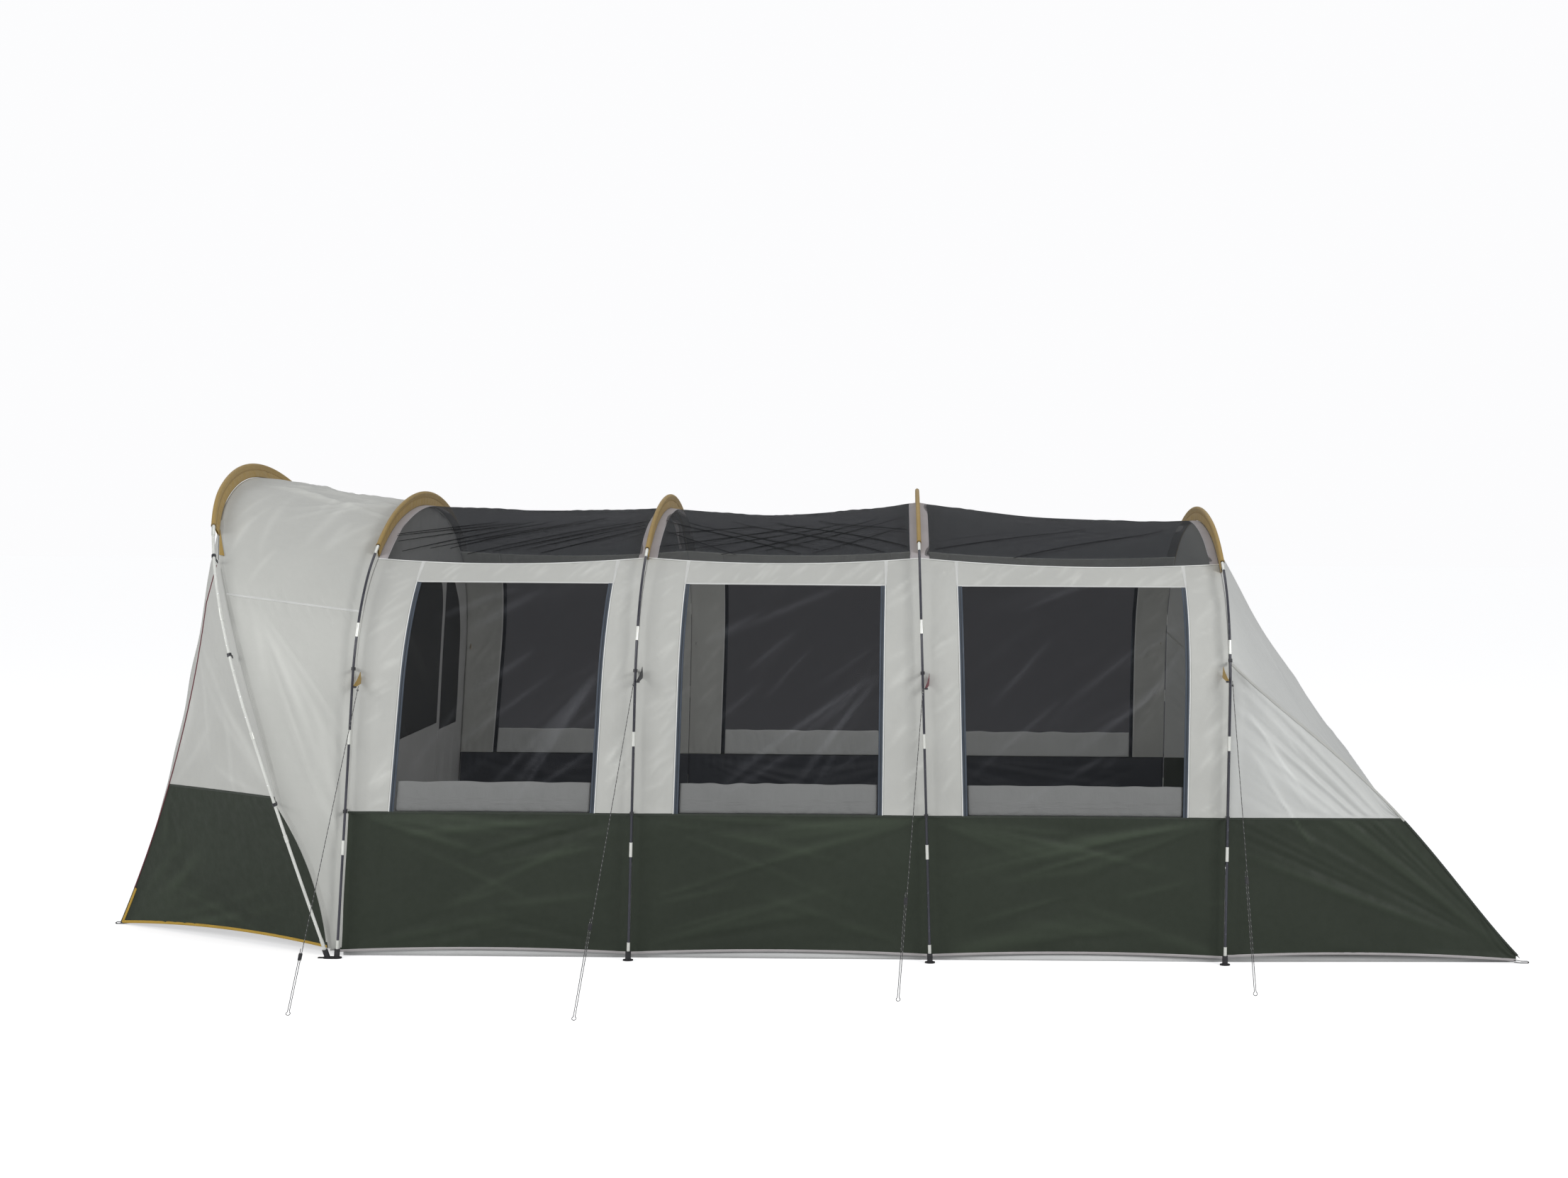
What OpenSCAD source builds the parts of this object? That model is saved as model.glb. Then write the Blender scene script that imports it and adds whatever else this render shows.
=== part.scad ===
// Tunnel tent on five arched poles: a leaning front canopy, three window bays and a sloping rear bay.
// The tent lies along X with its front towards -X, and it is the same on both sides of the X axis.
// The ground is z = 0, and all sizes are in millimetres.

/* [Hoops] */
// Place of the canopy hoop's feet along the tent
canopy_x = -2000; // [-2020:5:-1980]
// Place of the second hoop's feet
hoop_2_x = -1962; // [-1970:2:-1955]
// Place of the third hoop's feet
hoop_3_x = -713; // [-760:1:-660]
// Place of the fourth hoop's feet
hoop_4_x = 582; // [530:1:630]
// Place of the rear hoop's feet
rear_hoop_x = 1847; // [1800:1:1890]
// Crown of the canopy hoop, measured up its own leaning plane
canopy_crown = 2241; // [2230:1:2250]
// Crown of the second hoop
hoop_2_crown = 2007; // [1990:1:2020]
// Crown of the third hoop
hoop_3_crown = 2000; // [1990:1:2020]
// Crown of the fourth hoop
hoop_4_crown = 2038; // [2010:1:2050]
// Crown of the rear hoop
rear_hoop_crown = 1960; // [1950:1:1990]
// Forward lean of the canopy hoop, in degrees
canopy_lean = 18; // [14:0.5:20]
// Rearward lean of the second hoop
hoop_2_lean = 2.8; // [0:0.1:4]
// Rearward lean of the third hoop
hoop_3_lean = 1; // [-2:0.1:3]
// Rearward lean of the fourth hoop
hoop_4_lean = -1.9; // [-3:0.1:2]
// Rearward lean of the rear hoop
rear_hoop_lean = 0.7; // [-2:0.1:3]

/* [Poles] */
// Radius of a bay pole
pole_r = 5.5; // [4.5:0.1:6]
// Radius of the thicker canopy pole
canopy_pole_r = 6.5; // [5.5:0.1:7]
// Radius of the hollow inside every pole
pole_bore_r = 2.6; // [2:0.1:3]
// Radius of the elastic cord inside the poles
shock_cord_r = 1.5; // [1:0.1:1.8]
// Gap where two pole sections meet end to end
section_gap = 0.3; // [0.1:0.05:0.5]
// Length of a ferrule that joins two pole sections
ferrule_l = 62; // [40:1:80]
// Wall of a ferrule
ferrule_wall = 1.2; // [0.8:0.1:2]
// Running gap between a pole and whatever slides over it
pole_gap = 0.4; // [0.3:0.05:0.6]

/* [Feet] */
// Radius of a foot's ground disc
foot_disc_r = 22; // [18:1:26]
// Thickness of a foot's ground disc
foot_disc_t = 5; // [3:0.5:8]
// Outer radius of a foot's socket
foot_socket_r = 12; // [10:0.5:14]
// Height of a foot's socket above the ground
foot_socket_h = 40; // [25:1:50]
// Length of the tongue in front of each front foot
front_tongue_l = 42; // [20:1:60]

/* [Fabric] */
// Thickness of every fabric panel
fabric_t = 1.5; // [1:0.1:2]
// Depth of the fabric under a hoop's crown
crown_inset = 60; // [50:1:70]
// Height of the seam at the top of the walls, at the second hoop
seam_z_2 = 1707; // [1690:1:1730]
// The same seam at the third hoop
seam_z_3 = 1719; // [1690:1:1730]
// The same seam at the fourth hoop
seam_z_4 = 1727; // [1690:1:1735]
// The same seam at the rear hoop
seam_z_5 = 1708; // [1690:1:1730]
// Droop of the wall seam in the middle of a bay
seam_sag = 25; // [0:1:40]
// Droop of the first bay's roof along its middle
roof_sag_1 = 22; // [0:1:60]
// Droop of the second bay's roof
roof_sag_2 = 43; // [0:1:60]
// Droop of the third bay's roof
roof_sag_3 = 34; // [0:1:60]
// Inward pull of a wall in the middle of a bay
wall_sag = 18; // [0:1:30]
// Top of the dark lower band
band_z = 620; // [560:5:660]
// Height of the walls' hem at a hoop
hem_z = 27; // [24:1:35]
// Rise of the hem between two hoops
hem_lift = 12; // [0:1:20]
// Space left between two neighbouring panels
panel_gap = 2; // [1:0.5:4]

/* [Windows] */
// Top of every window
window_top_z = 1610; // [1560:5:1640]
// Height of the pocket that holds a rolled window cover
pocket_h = 134; // [100:1:160]
// Thickness of the pocket with its cover inside
pocket_t = 12; // [6:1:20]

/* [Front] */
// Place of the front ground line
front_x = -3157; // [-3165:1:-3100]
// Half the width of the front ground line
front_half_w = 560; // [450:10:700]
// Turn from the crown, in degrees, at which a front edge leaves the canopy hoop
front_turn = 46; // [44:1:56]
// Hollow of the front edges between the hoop and the ground
front_edge_hollow = 52; // [0:1:80]
// Top of the wings' dark lower band
wing_band_z = 685; // [600:5:720]
// Share of the front wall's width that the door takes
door_share = 0.5; // [0.4:0.05:0.6]
// Top of the front door, as a share of the way down the front wall
door_top = 0.16; // [0.1:0.01:0.25]
// Bottom of the front door, as a share of the way down the front wall
door_bottom = 0.93; // [0.85:0.01:0.95]

/* [Inner doorway] */
// Half the width of the inner door
inner_door_half_w = 650; // [500:10:700]
// Height of the inner door's sill
inner_sill_z = 110; // [90:5:200]
// Top of the inner door
inner_door_top_z = 1660; // [1500:10:1680]
// Bottom of the mesh in the inner wall and its door
inner_mesh_z = 800; // [700:10:900]
// Half the width of the whole meshed part of the inner wall
inner_mesh_half_w = 1160; // [900:10:1200]

/* [Rear] */
// Place of the rear ground line
rear_x = 3138; // [3100:1:3150]
// Half the width of the rear ground line
rear_half_w = 1300; // [1100:10:1340]
// Height on the rear hoop at which the side panel ends
rear_ridge_z = 1300; // [1100:10:1400]
// Hollow of the rear slope near its top
rear_hollow = 45; // [0:1:90]
// How far each ridge between the rear slope and a rear side bows outwards
rear_ridge_bow = 60; // [0:5:80]

/* [Groundsheet] */
// Thickness of the groundsheet
floor_t = 2; // [1:0.5:3]
// Height of its raised edge
floor_rim_h = 26; // [20:1:40]

/* [Guy lines] */
// Diameter of a guy line
guy_d = 3; // [2:0.5:4]
// Distance between the two runs of a doubled guy line
guy_pitch = 7; // [6:0.5:10]
// Length of a guy line's slider
slider_l = 30; // [20:1:40]

/* [Hidden] */

// Facets of a small circle, and of the large circles that the poles bend along
small_fn = 40;
bend_fn = 720;

// One entry for each hoop, from the front to the rear
hoop_x = [canopy_x, hoop_2_x, hoop_3_x, hoop_4_x, rear_hoop_x];
crown = [canopy_crown, hoop_2_crown, hoop_3_crown, hoop_4_crown, rear_hoop_crown];
lean = [-canopy_lean, hoop_2_lean, hoop_3_lean, hoop_4_lean, rear_hoop_lean];
seam_z = [0, seam_z_2, seam_z_3, seam_z_4, seam_z_5];
roof_sag = [0, roof_sag_1, roof_sag_2, roof_sag_3];

// A hoop is a run of arcs from its crown: the radius of each arc, and the angle that it turns
canopy_arc_r = [2250, 1107, 7364];
canopy_arc_turn = [19, 71, 8.37];
bay_arc_r = [2700, 1500, 633];
bay_arc_turn = [13, 22, 55];
// How much less each arc's radius is in the fabric that hangs inside the pole
canopy_fabric_less = [60, 50, 53];
bay_fabric_less = [60, 55, 33];
// The most that one pole section bends
section_turn = 20;
// A place on a rib is its turn from the crown up to 90, and then a leg runs from 90 to 150
leg_turn = 60;

// Window sides along X: top left, top right, bottom left, bottom right, for each bay
window_x = [
    [],
    [-1681, -819, -1756, -869],
    [-503, 377, -530, 373],
    [691, 1700, 719, 1689]
];

// Where the ferrules sit: turns from the crown on the arcs, and heights on the straight legs
bay_ferrule_turns = [4, 14.4, 32, 69.5];
bay_ferrule_heights = [950, 475, 71];
canopy_ferrule_turns = [5, 17, 40, 64.7, 90.5, 94.1, 97.8];
// How far each sleeve reaches on either side of its crown
canopy_sleeve_turn = 38;
bay_sleeve_turn = 30.5;
// Room round the pole inside a sleeve, and the half thickness of the flat web under it
sleeve_room = 3.5;
sleeve_web = 2.2;
sleeve_t = 1;
// Heights of the clips that hold the walls to the poles, for hoops 2 to 5
bay_clip_z = [[1243, 630], [1243, 630], [1243, 630], [1305, 630]];
// How far the canopy's pole has bent from its crown at each clip
canopy_clip_bends = [48.6, 74.6, 92.9];
clip_h = 14;
clip_wall = 3;
// How far a clip's strap runs in to the wall
clip_reach = 42;

// Guy lines: the point on the webbing tab and the point at the peg, for the near side of each hoop
guy_top = [[], [-1875, -1416, 1168], [-695, -1416, 1200], [543, -1416, 1180], [1868, -1416, 1220]];
guy_peg = [[], [-1853, -2674, 12], [-765, -2724, 12], [453, -2310, 12], [1880, -2140, 12]];
// Where each slider rests, as a share of the way down its line
guy_slider_at = [0, 0.84, 0.75, 0.70, 0.65];
guy_loop_r = 8;
guy_tail = 24;

// ---------------------------------------------------------------- points on the ribs

function unit(v) = v / norm(v);
function mix(a, b, f) = a * (1 - f) + b * f;
function hump(f) = 4 * f * (1 - f);

function arc_turns(i) = i == 0 ? canopy_arc_turn : bay_arc_turn;
function pole_arcs(i) = i == 0 ? canopy_arc_r : bay_arc_r;
function fabric_arcs(i) = i == 0 ? canopy_arc_r - canopy_fabric_less : bay_arc_r - bay_fabric_less;

// Sideways reach and drop of a run of arcs after it has turned by a
function reach(r, t, a, k = 0, a0 = 0) =
    k >= len(r) || a <= a0 ? 0
    : r[k] * (sin(min(a, a0 + t[k])) - sin(a0)) + reach(r, t, a, k + 1, a0 + t[k]);
function drop(r, t, a, k = 0, a0 = 0) =
    k >= len(r) || a <= a0 ? 0
    : r[k] * (cos(a0) - cos(min(a, a0 + t[k]))) + drop(r, t, a, k + 1, a0 + t[k]);

// Point [y, height] in the plane of hoop i at turn a, on the pole or on the fabric inside it
function rib_2d(i, a, pole = false) =
    let (
        r = pole ? pole_arcs(i) : fabric_arcs(i),
        t = arc_turns(i),
        top = crown[i] - (pole ? 0 : crown_inset),
        side = a < 0 ? -1 : 1,
        m = abs(a),
        bend = i == 0 && m > 90 ? 90 + (m - 90) / leg_turn * t[2] : min(m, 90),
        h = top - drop(r, t, bend),
        leg = i > 0 && m > 90 ? (m - 90) / leg_turn : 0
    )
    [side * reach(r, t, bend), h * (1 - leg)];

// A point of a hoop's own plane, in the tent's frame
function in_plane(i, p, off = 0) = [
    hoop_x[i] + sin(lean[i]) * p[1] + cos(lean[i]) * off,
    p[0],
    cos(lean[i]) * p[1] - sin(lean[i]) * off
];
function rib(i, a, pole = false) = in_plane(i, rib_2d(i, a, pole));

// The turn at which the fabric rib of hoop i passes height z
function turn_at(i, z, k = 0, a0 = 0, h0 = undef) =
    let (
        h = z / cos(lean[i]),
        r = fabric_arcs(i),
        t = arc_turns(i),
        top = h0 == undef ? crown[i] - crown_inset : h0,
        low = k < len(r) ? top - r[k] * (cos(a0) - cos(a0 + t[k])) : 0,
        bend = k < len(r) ? acos(max(-1, min(1, cos(a0) - (top - h) / r[k]))) : 0
    )
    k >= len(r) ? 90 + leg_turn * (1 - h / top)
    : h < low ? turn_at(i, z, k + 1, a0 + t[k], low)
    : i == 0 && bend > 90 ? 90 + (bend - 90) / t[2] * leg_turn
    : bend;

// ---------------------------------------------------------------- points on the fabric

// Near wall of the bay behind hoop b: f runs from 0 at hoop b to 1 at the next
function wall(b, f, z) =
    mix(rib(b, -turn_at(b, z)), rib(b + 1, -turn_at(b + 1, z)), f) + [0, wall_sag * hump(f), 0];
function bay_start(b, z) = rib(b, -turn_at(b, z))[0];
function wall_at_x(b, x, z) = wall(b, (x - bay_start(b, z)) / (bay_start(b + 1, z) - bay_start(b, z)), z);
function seam_height(b, f) = mix(seam_z[b], seam_z[b + 1], f) - seam_sag * hump(f);
function window_left(b, z) = mix(window_x[b][2], window_x[b][0], (z - band_z) / (window_top_z - band_z));
function window_right(b, z) = mix(window_x[b][3], window_x[b][1], (z - band_z) / (window_top_z - band_z));

// Roof of a bay: w runs across from -1 at the near seam to 1 at the far seam
function roof(b, f, w) =
    let (z = seam_height(b, f))
    mix(rib(b, w * turn_at(b, z)), rib(b + 1, w * turn_at(b + 1, z)), f)
    - [0, wall_sag * hump(f) * w * abs(w), roof_sag[b] * hump(f) * (1 - w * w)];

// Front wall: u runs across from -1 to 1, and t down from the canopy hoop to the ground
function front(u, t) =
    mix(rib(0, u * front_turn), [front_x, u * front_half_w, 4], t)
    + [
        front_edge_hollow * hump(max(0, (t - 0.12) / 0.88)) * min(1, max(0, (abs(u) - door_share) / 0.35)),
        0, 0
    ];

// Near wing: s runs down from 0 to 1, and w from the canopy hoop to the front edge
wing_top_z = rib(0, -front_turn)[2];
wing_hem_z = 30;
wing_split = (wing_top_z - wing_band_z) / (wing_top_z - wing_hem_z);
wing_hem_lift = 30;
function wing(s, w) =
    mix(rib(0, -turn_at(0, mix(wing_top_z, wing_hem_z, s))), front(-1, s), w)
    + [0, 0, wing_hem_lift * hump(w) * pow(s, 6)];

// Rear slope: u runs across from -1 to 1, and t down from the rear hoop to the ground
ridge_turn = turn_at(4, rear_ridge_z);
rear_ground_z = 20;
function rear(u, t) =
    let (
        k = rear_hollow * 6.75 * t * (1 - t) * (1 - t) * (1 - pow(u, 4)),
        bow = rear_ridge_bow * pow(hump(t), 2) * pow(u, 4)
    )
    mix(rib(4, u * ridge_turn), [rear_x, u * rear_half_w, rear_ground_z], t)
    + [0.70 * bow - 0.83 * k, 0, 0.72 * bow - 0.56 * k];
// Share of the way down the rear slope at which it passes height z
function rear_drop(u, z, t = 0.5, tries = 8) =
    tries == 0 ? t
    : rear_drop(u, z, t + (rear(u, t)[2] - z) / (rib(4, u * ridge_turn)[2] - rear_ground_z), tries - 1);

// Near rear side: t runs from the rear hoop to the corner, and s up from the hem to the ridge
function rear_side(t, s) =
    mix(
        mix(rib(4, -turn_at(4, hem_z)), [rear_x, -rear_half_w, rear_ground_z - 6], t) + [0, 0, 20 * hump(t)],
        rear(-1, t),
        s
    );

// ---------------------------------------------------------------- solids made of points

// Closed sheet of thickness t around a grid of points; wrap joins the last column to the first
function grid_normal(g, i, j, wrap) =
    let (
        rows = len(g),
        cols = len(g[0]),
        up = g[min(i + 1, rows - 1)][j] - g[max(i - 1, 0)][j],
        next = wrap ? (j + 1) % cols : min(j + 1, cols - 1),
        last = wrap ? (j + cols - 1) % cols : max(j - 1, 0),
        n = cross(up, g[i][next] - g[i][last])
    )
    n / norm(n);

module sheet(g, t = fabric_t, wrap = false) {
    rows = len(g);
    cols = len(g[0]);
    n = rows * cols;
    span = wrap ? cols : cols - 1;
    side = [for (k = [t / 2, -t / 2]) for (i = [0:rows - 1]) for (j = [0:cols - 1])
        g[i][j] + k * grid_normal(g, i, j, wrap)];
    faces = [for (i = [0:rows - 2]) for (j = [0:span - 1])
        let (a = i * cols + j, b = i * cols + (j + 1) % cols, c = a + cols, d = b + cols)
        each [[a, b, d], [a, d, c], [n + a, n + d, n + b], [n + a, n + c, n + d]]];
    ends = [for (j = [0:span - 1])
        let (a = j, b = (j + 1) % cols, c = n - cols + j, d = n - cols + (j + 1) % cols)
        each [[a, n + a, n + b], [a, n + b, b], [c, n + d, n + c], [c, d, n + d]]];
    edges = wrap ? [] : [for (i = [0:rows - 2])
        let (a = i * cols, c = a + cols, b = a + cols - 1, d = b + cols)
        each [[a, c, n + c], [a, n + c, n + a], [b, n + d, d], [b, n + b, n + d]]];
    polyhedron(side, concat(faces, ends, edges));
}

// The same thing on both sides of the tent
module both_sides() {
    children();
    mirror([0, 1, 0]) children();
}

// Turns a child whose length is along Z so that it lies along direction d
module along(d) {
    rotate([0, acos(d[2] / norm(d)), atan2(d[1], d[0])]) children();
}

// Places a child in the plane of hoop i: its X is across the tent, its Y is up, its Z is rearwards
module on_hoop(i) {
    translate([hoop_x[i], 0, 0]) rotate([0, lean[i], 0]) rotate([90, 0, 90]) children();
}

// ---------------------------------------------------------------- poles

module ring_section(outer_r, inner_r) {
    difference() {
        circle(outer_r, $fn = small_fn);
        if (inner_r > 0) circle(inner_r, $fn = small_fn);
    }
}

// Bends the child section along hoop i from turn a to turn b, within one arc
module bent(i, k, a, b) {
    r = pole_arcs(i);
    t = arc_turns(i);
    start = k == 0 ? 0 : k == 1 ? t[0] : t[0] + t[1];
    cy = reach(r, t, start) - r[k] * sin(start);
    cz = crown[i] - drop(r, t, start) - r[k] * cos(start);
    translate([cy, cz]) rotate([0, 0, 90 - b]) rotate_extrude(angle = b - a, $fn = bend_fn)
        translate([r[k], 0]) children();
}

// Runs the child section along the whole of hoop i, in sections that meet end to end
module arch(i, foot_h) {
    t = arc_turns(i);
    r = pole_arcs(i);
    leg_top = rib_2d(i, 90, true);
    on_hoop(i) for (side = [0, 1]) mirror([side, 0, 0]) {
        for (k = [0:2]) {
            start = k == 0 ? 0 : k == 1 ? t[0] : t[0] + t[1];
            end = start + t[k] - (i == 0 && k == 2 ? asin(foot_h / r[2]) : 0);
            count = ceil(t[k] / section_turn);
            gap = section_gap / r[k] * 180 / PI;
            for (n = [0:count - 1])
                bent(i, k, mix(start, end, n / count) + gap / 2, mix(start, end, (n + 1) / count) - gap / 2)
                    children();
        }
        if (i > 0) translate([leg_top[0], foot_h, 0]) rotate([-90, 0, 0])
            linear_extrude(leg_top[1] - foot_h - section_gap / 2) children();
    }
}

module hoop(i) {
    color(i == 0 ? "whitesmoke" : "darkslategray")
        arch(i, foot_disc_t + 4) ring_section(i == 0 ? canopy_pole_r : pole_r, pole_bore_r);
}

module shock_cords() {
    color("black") for (i = [0:4]) arch(i, foot_disc_t + 6) ring_section(shock_cord_r, 0);
}

module ferrule_section(rod_r) {
    ring_section(rod_r + pole_gap + ferrule_wall, rod_r + pole_gap);
}

module pole_ferrules() {
    color("ivory") {
        for (i = [1:4]) on_hoop(i) for (side = [0, 1]) mirror([side, 0, 0]) {
            leg_y = rib_2d(i, 90, true)[0];
            for (a = bay_ferrule_turns) {
                k = a < bay_arc_turn[0] ? 0 : a < bay_arc_turn[0] + bay_arc_turn[1] ? 1 : 2;
                half = ferrule_l / 2 / bay_arc_r[k] * 180 / PI;
                bent(i, k, a - half, a + half) ferrule_section(pole_r);
            }
            for (h = bay_ferrule_heights) translate([leg_y, h - ferrule_l / 2, 0]) rotate([-90, 0, 0])
                linear_extrude(h < 100 ? ferrule_l * 0.6 : ferrule_l) ferrule_section(pole_r);
        }
        on_hoop(0) for (side = [0, 1]) mirror([side, 0, 0]) for (a = canopy_ferrule_turns) {
            k = a < canopy_arc_turn[0] ? 0 : a < 90 ? 1 : 2;
            half = (k == 2 ? 0.5 : 1) * ferrule_l / 2 / canopy_arc_r[k] * 180 / PI;
            bent(0, k, a - half, a + half) ferrule_section(canopy_pole_r);
        }
    }
}

// ---------------------------------------------------------------- feet and clips

module socket(i, side) {
    foot = rib_2d(i, 150, true);
    tilt = i == 0 ? -canopy_arc_turn[2] : 0;
    on_hoop(i) mirror([side, 0, 0]) translate([foot[0], 0, 0]) rotate([0, 0, tilt]) rotate([-90, 0, 0])
        children();
}

module foot_bore(i, side, rod_r) {
    socket(i, side) translate([0, 0, foot_disc_t + 3])
        cylinder(r = rod_r + pole_gap, h = foot_socket_h * 2, $fn = small_fn);
}

module foot_post(i, side) {
    socket(i, side) translate([0, 0, 2])
        cylinder(r = foot_socket_r, h = foot_socket_h - 2, $fn = small_fn);
}

module hoop_feet() {
    color("dimgray") for (i = [2:4]) for (side = [0, 1]) difference() {
        union() {
            translate([hoop_x[i], (side == 0 ? 1 : -1) * rib_2d(i, 150, true)[0], 0])
                cylinder(r = foot_disc_r, h = foot_disc_t, $fn = small_fn);
            foot_post(i, side);
        }
        foot_bore(i, side, pole_r);
    }
}

// The first two hoops stand close together, so each side has one foot that takes both poles
module front_feet() {
    pole_y = rib_2d(1, 150, true)[0];
    color("dimgray") for (side = [0, 1]) difference() {
        union() {
            hull() for (x = [canopy_x, hoop_2_x])
                translate([x, (side == 0 ? 1 : -1) * pole_y, 0])
                    cylinder(r = foot_disc_r, h = foot_disc_t, $fn = small_fn);
            translate([canopy_x - front_tongue_l, (side == 0 ? 1 : -1) * pole_y - 9, 0])
                cube([front_tongue_l, 18, foot_disc_t - 1]);
            foot_post(0, side);
            foot_post(1, side);
        }
        foot_bore(0, side, canopy_pole_r);
        foot_bore(1, side, pole_r);
    }
}

// A ring on the pole and a strap that runs in to the wall
module clip(rod_r, reach_in) {
    difference() {
        union() {
            cylinder(r = rod_r + pole_gap + clip_wall, h = clip_h, center = true, $fn = small_fn);
            translate([-reach_in, -1.5, -clip_h / 2]) cube([reach_in, 3, clip_h]);
        }
        cylinder(r = rod_r + pole_gap, h = clip_h * 2, center = true, $fn = small_fn);
    }
}

// Places a clip on hoop i where it has turned by a, or on a straight leg at height z
module clip_on_turn(i, a) {
    r = pole_arcs(i);
    t = arc_turns(i);
    translate([reach(r, t, a), crown[i] - drop(r, t, a)]) rotate([0, 0, 90 - a])
        rotate([-90, 0, 0]) children();
}
module clip_on_leg(i, z) {
    leg = rib_2d(i, 90, true);
    above = z - leg[1];
    if (above > 0) clip_on_turn(i, acos(above / bay_arc_r[2])) children();
    else translate([leg[0], z]) rotate([-90, 0, 0]) children();
}

module pole_clips() {
    color("black") for (side = [0, 1]) {
        for (i = [1:4]) on_hoop(i) mirror([side, 0, 0]) for (z = bay_clip_z[i - 1])
            clip_on_leg(i, z) clip(pole_r, clip_reach);
        on_hoop(0) mirror([side, 0, 0]) for (a = canopy_clip_bends)
            clip_on_turn(0, a) clip(canopy_pole_r, clip_reach);
    }
}

// ---------------------------------------------------------------- sleeves

// A fold of cloth that runs from the roof, round the pole and back: [x, height above the pole]
function sleeve_path(i, depth) =
    let (r = sleeve_room + (i == 0 ? canopy_pole_r : pole_r))
    concat(
        [[-sleeve_web, -depth], [-sleeve_web, -2 * r]],
        [for (a = [195:-30:-15]) [r * cos(a), r * sin(a)]],
        [[sleeve_web, -2 * r], [sleeve_web, -depth]]
    );

function sleeve_ring(i, a) =
    let (
        pole = rib_2d(i, a, true),
        cloth = rib_2d(i, a) + unit(pole - rib_2d(i, a)) * (fabric_t / 2 + 1.5),
        out = unit(pole - cloth)
    )
    [for (p = sleeve_path(i, norm(pole - cloth))) in_plane(i, pole + out * p[1], p[0])];

module sleeve(i) {
    limit = i == 0 ? canopy_sleeve_turn : bay_sleeve_turn;
    steps = 36;
    color("goldenrod") sheet([for (k = [0:steps]) sleeve_ring(i, mix(-limit, limit, k / steps))], sleeve_t);
}

// ---------------------------------------------------------------- bays

function inset_run(b, steps) =
    let (g = panel_gap / 2 / (hoop_x[b + 1] - hoop_x[b]))
    [for (k = [0:steps]) mix(g, 1 - g, k / steps)];

module lower_walls() {
    color("darkolivegreen") both_sides() for (b = [1:3]) sheet([
        for (k = [0:3]) [for (f = inset_run(b, 6))
            wall(b, f, mix(hem_z + hem_lift * hump(f), band_z - panel_gap / 2, k / 3))]
    ]);
}

// The wall goes up one side of the window, over it and down the other side
module upper_wall(b) {
    f = inset_run(b, 6);
    side_steps = 7;
    low = band_z + panel_gap / 2;
    high = window_top_z;
    first = [for (k = [0:side_steps]) mix(low, seam_height(b, f[0]) - panel_gap, k / side_steps)];
    last = [for (k = [side_steps:-1:0]) mix(low, seam_height(b, f[6]) - panel_gap, k / side_steps)];
    opening = [for (k = [0:side_steps]) mix(low, high, k / side_steps)];
    outer = concat(
        [for (z = first) wall(b, f[0], z)],
        [for (k = [1:5]) wall(b, f[k], seam_height(b, f[k]) - panel_gap)],
        [for (z = last) wall(b, f[6], z)]
    );
    inner = concat(
        [for (z = opening) wall_at_x(b, window_left(b, z), z)],
        [for (k = [1:5]) wall_at_x(b, mix(window_left(b, high), window_right(b, high), k / 6), high)],
        [for (k = [side_steps:-1:0]) wall_at_x(b, window_right(b, opening[k]), opening[k])]
    );
    color("lightgray") both_sides()
        sheet([for (m = [0:2]) [for (k = [0:len(outer) - 1]) mix(outer[k], inner[k], m / 2)]]);
}

module window_mesh(b) {
    g = panel_gap;
    color("slategray") both_sides() sheet([
        for (k = [0:6]) let (z = mix(band_z + g, window_top_z - g, k / 6))
            [for (m = [0:5]) wall_at_x(b, mix(window_left(b, z) + g, window_right(b, z) - g, m / 5), z)]
    ]);
}

module window_pockets() {
    edge = 24;
    color("gray") both_sides() for (b = [1:3]) sheet([
        for (z = [band_z + 2, band_z + pocket_h])
            [for (m = [0:4])
                wall_at_x(b, mix(window_left(b, z) + edge, window_right(b, z) - edge, m / 4), z)
                + [0, pocket_t / 2 + 4, 0]]
    ], pocket_t);
}

module roof_mesh(b) {
    steps = 14;
    color("darkslategray") sheet([
        for (k = [0:steps]) [for (f = inset_run(b, 6)) roof(b, f, mix(-1, 1, k / steps))]
    ]);
}

// ---------------------------------------------------------------- canopy and front

module canopy() {
    limit = 148.6;
    legs = [for (k = [0:5]) limit - k * 11.6];
    cuts = concat([for (a = legs) -a], [for (k = [-6:6]) k * 14], [for (k = [5:-1:0]) legs[k]]);
    color("gainsboro") sheet([
        for (a = cuts)
            let (p = rib(0, a), q = rib(1, a), g = panel_gap / norm(q - p))
            [for (k = [0:4]) mix(p, q, mix(g, 1 - g / 2, k / 4))]
    ]);
}

module wing_part(top, bottom) {
    steps = 5;
    color(top == 0 ? "gainsboro" : "darkslategray") both_sides() sheet([
        for (k = [0:steps]) let (s = mix(top, bottom, k / steps))
            [for (m = [0:5]) let (g = panel_gap / norm(wing(s, 1) - wing(s, 0)))
                wing(s, mix(g, 1 - g / 2, m / 5))]
    ]);
}

module wings_upper() {
    wing_part(0.06, wing_split - 0.0006);
}

module wings_lower() {
    wing_part(wing_split + 0.0006, 1);
}

// Walks round a rectangle of u and t, with the given steps on each side
function around(u, t0, t1, n) = concat(
    [for (k = [0:n - 1]) [mix(-u, u, k / n), t1]],
    [for (k = [0:n - 1]) [u, mix(t1, t0, k / n)]],
    [for (k = [0:n - 1]) [mix(u, -u, k / n), t0]],
    [for (k = [0:n - 1]) [-u, mix(t0, t1, k / n)]]
);
door_edge = 0.003;

module front_wall() {
    outer = around(0.999, 0.004, 0.998, 9);
    inner = around(door_share + door_edge, door_top - door_edge, door_bottom + door_edge, 9);
    color("gainsboro") sheet([
        for (m = [0:2]) [for (k = [0:len(outer) - 1])
            let (p = mix(outer[k], inner[k], m / 2)) front(p[0], p[1])]
    ], fabric_t, true);
}

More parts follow.
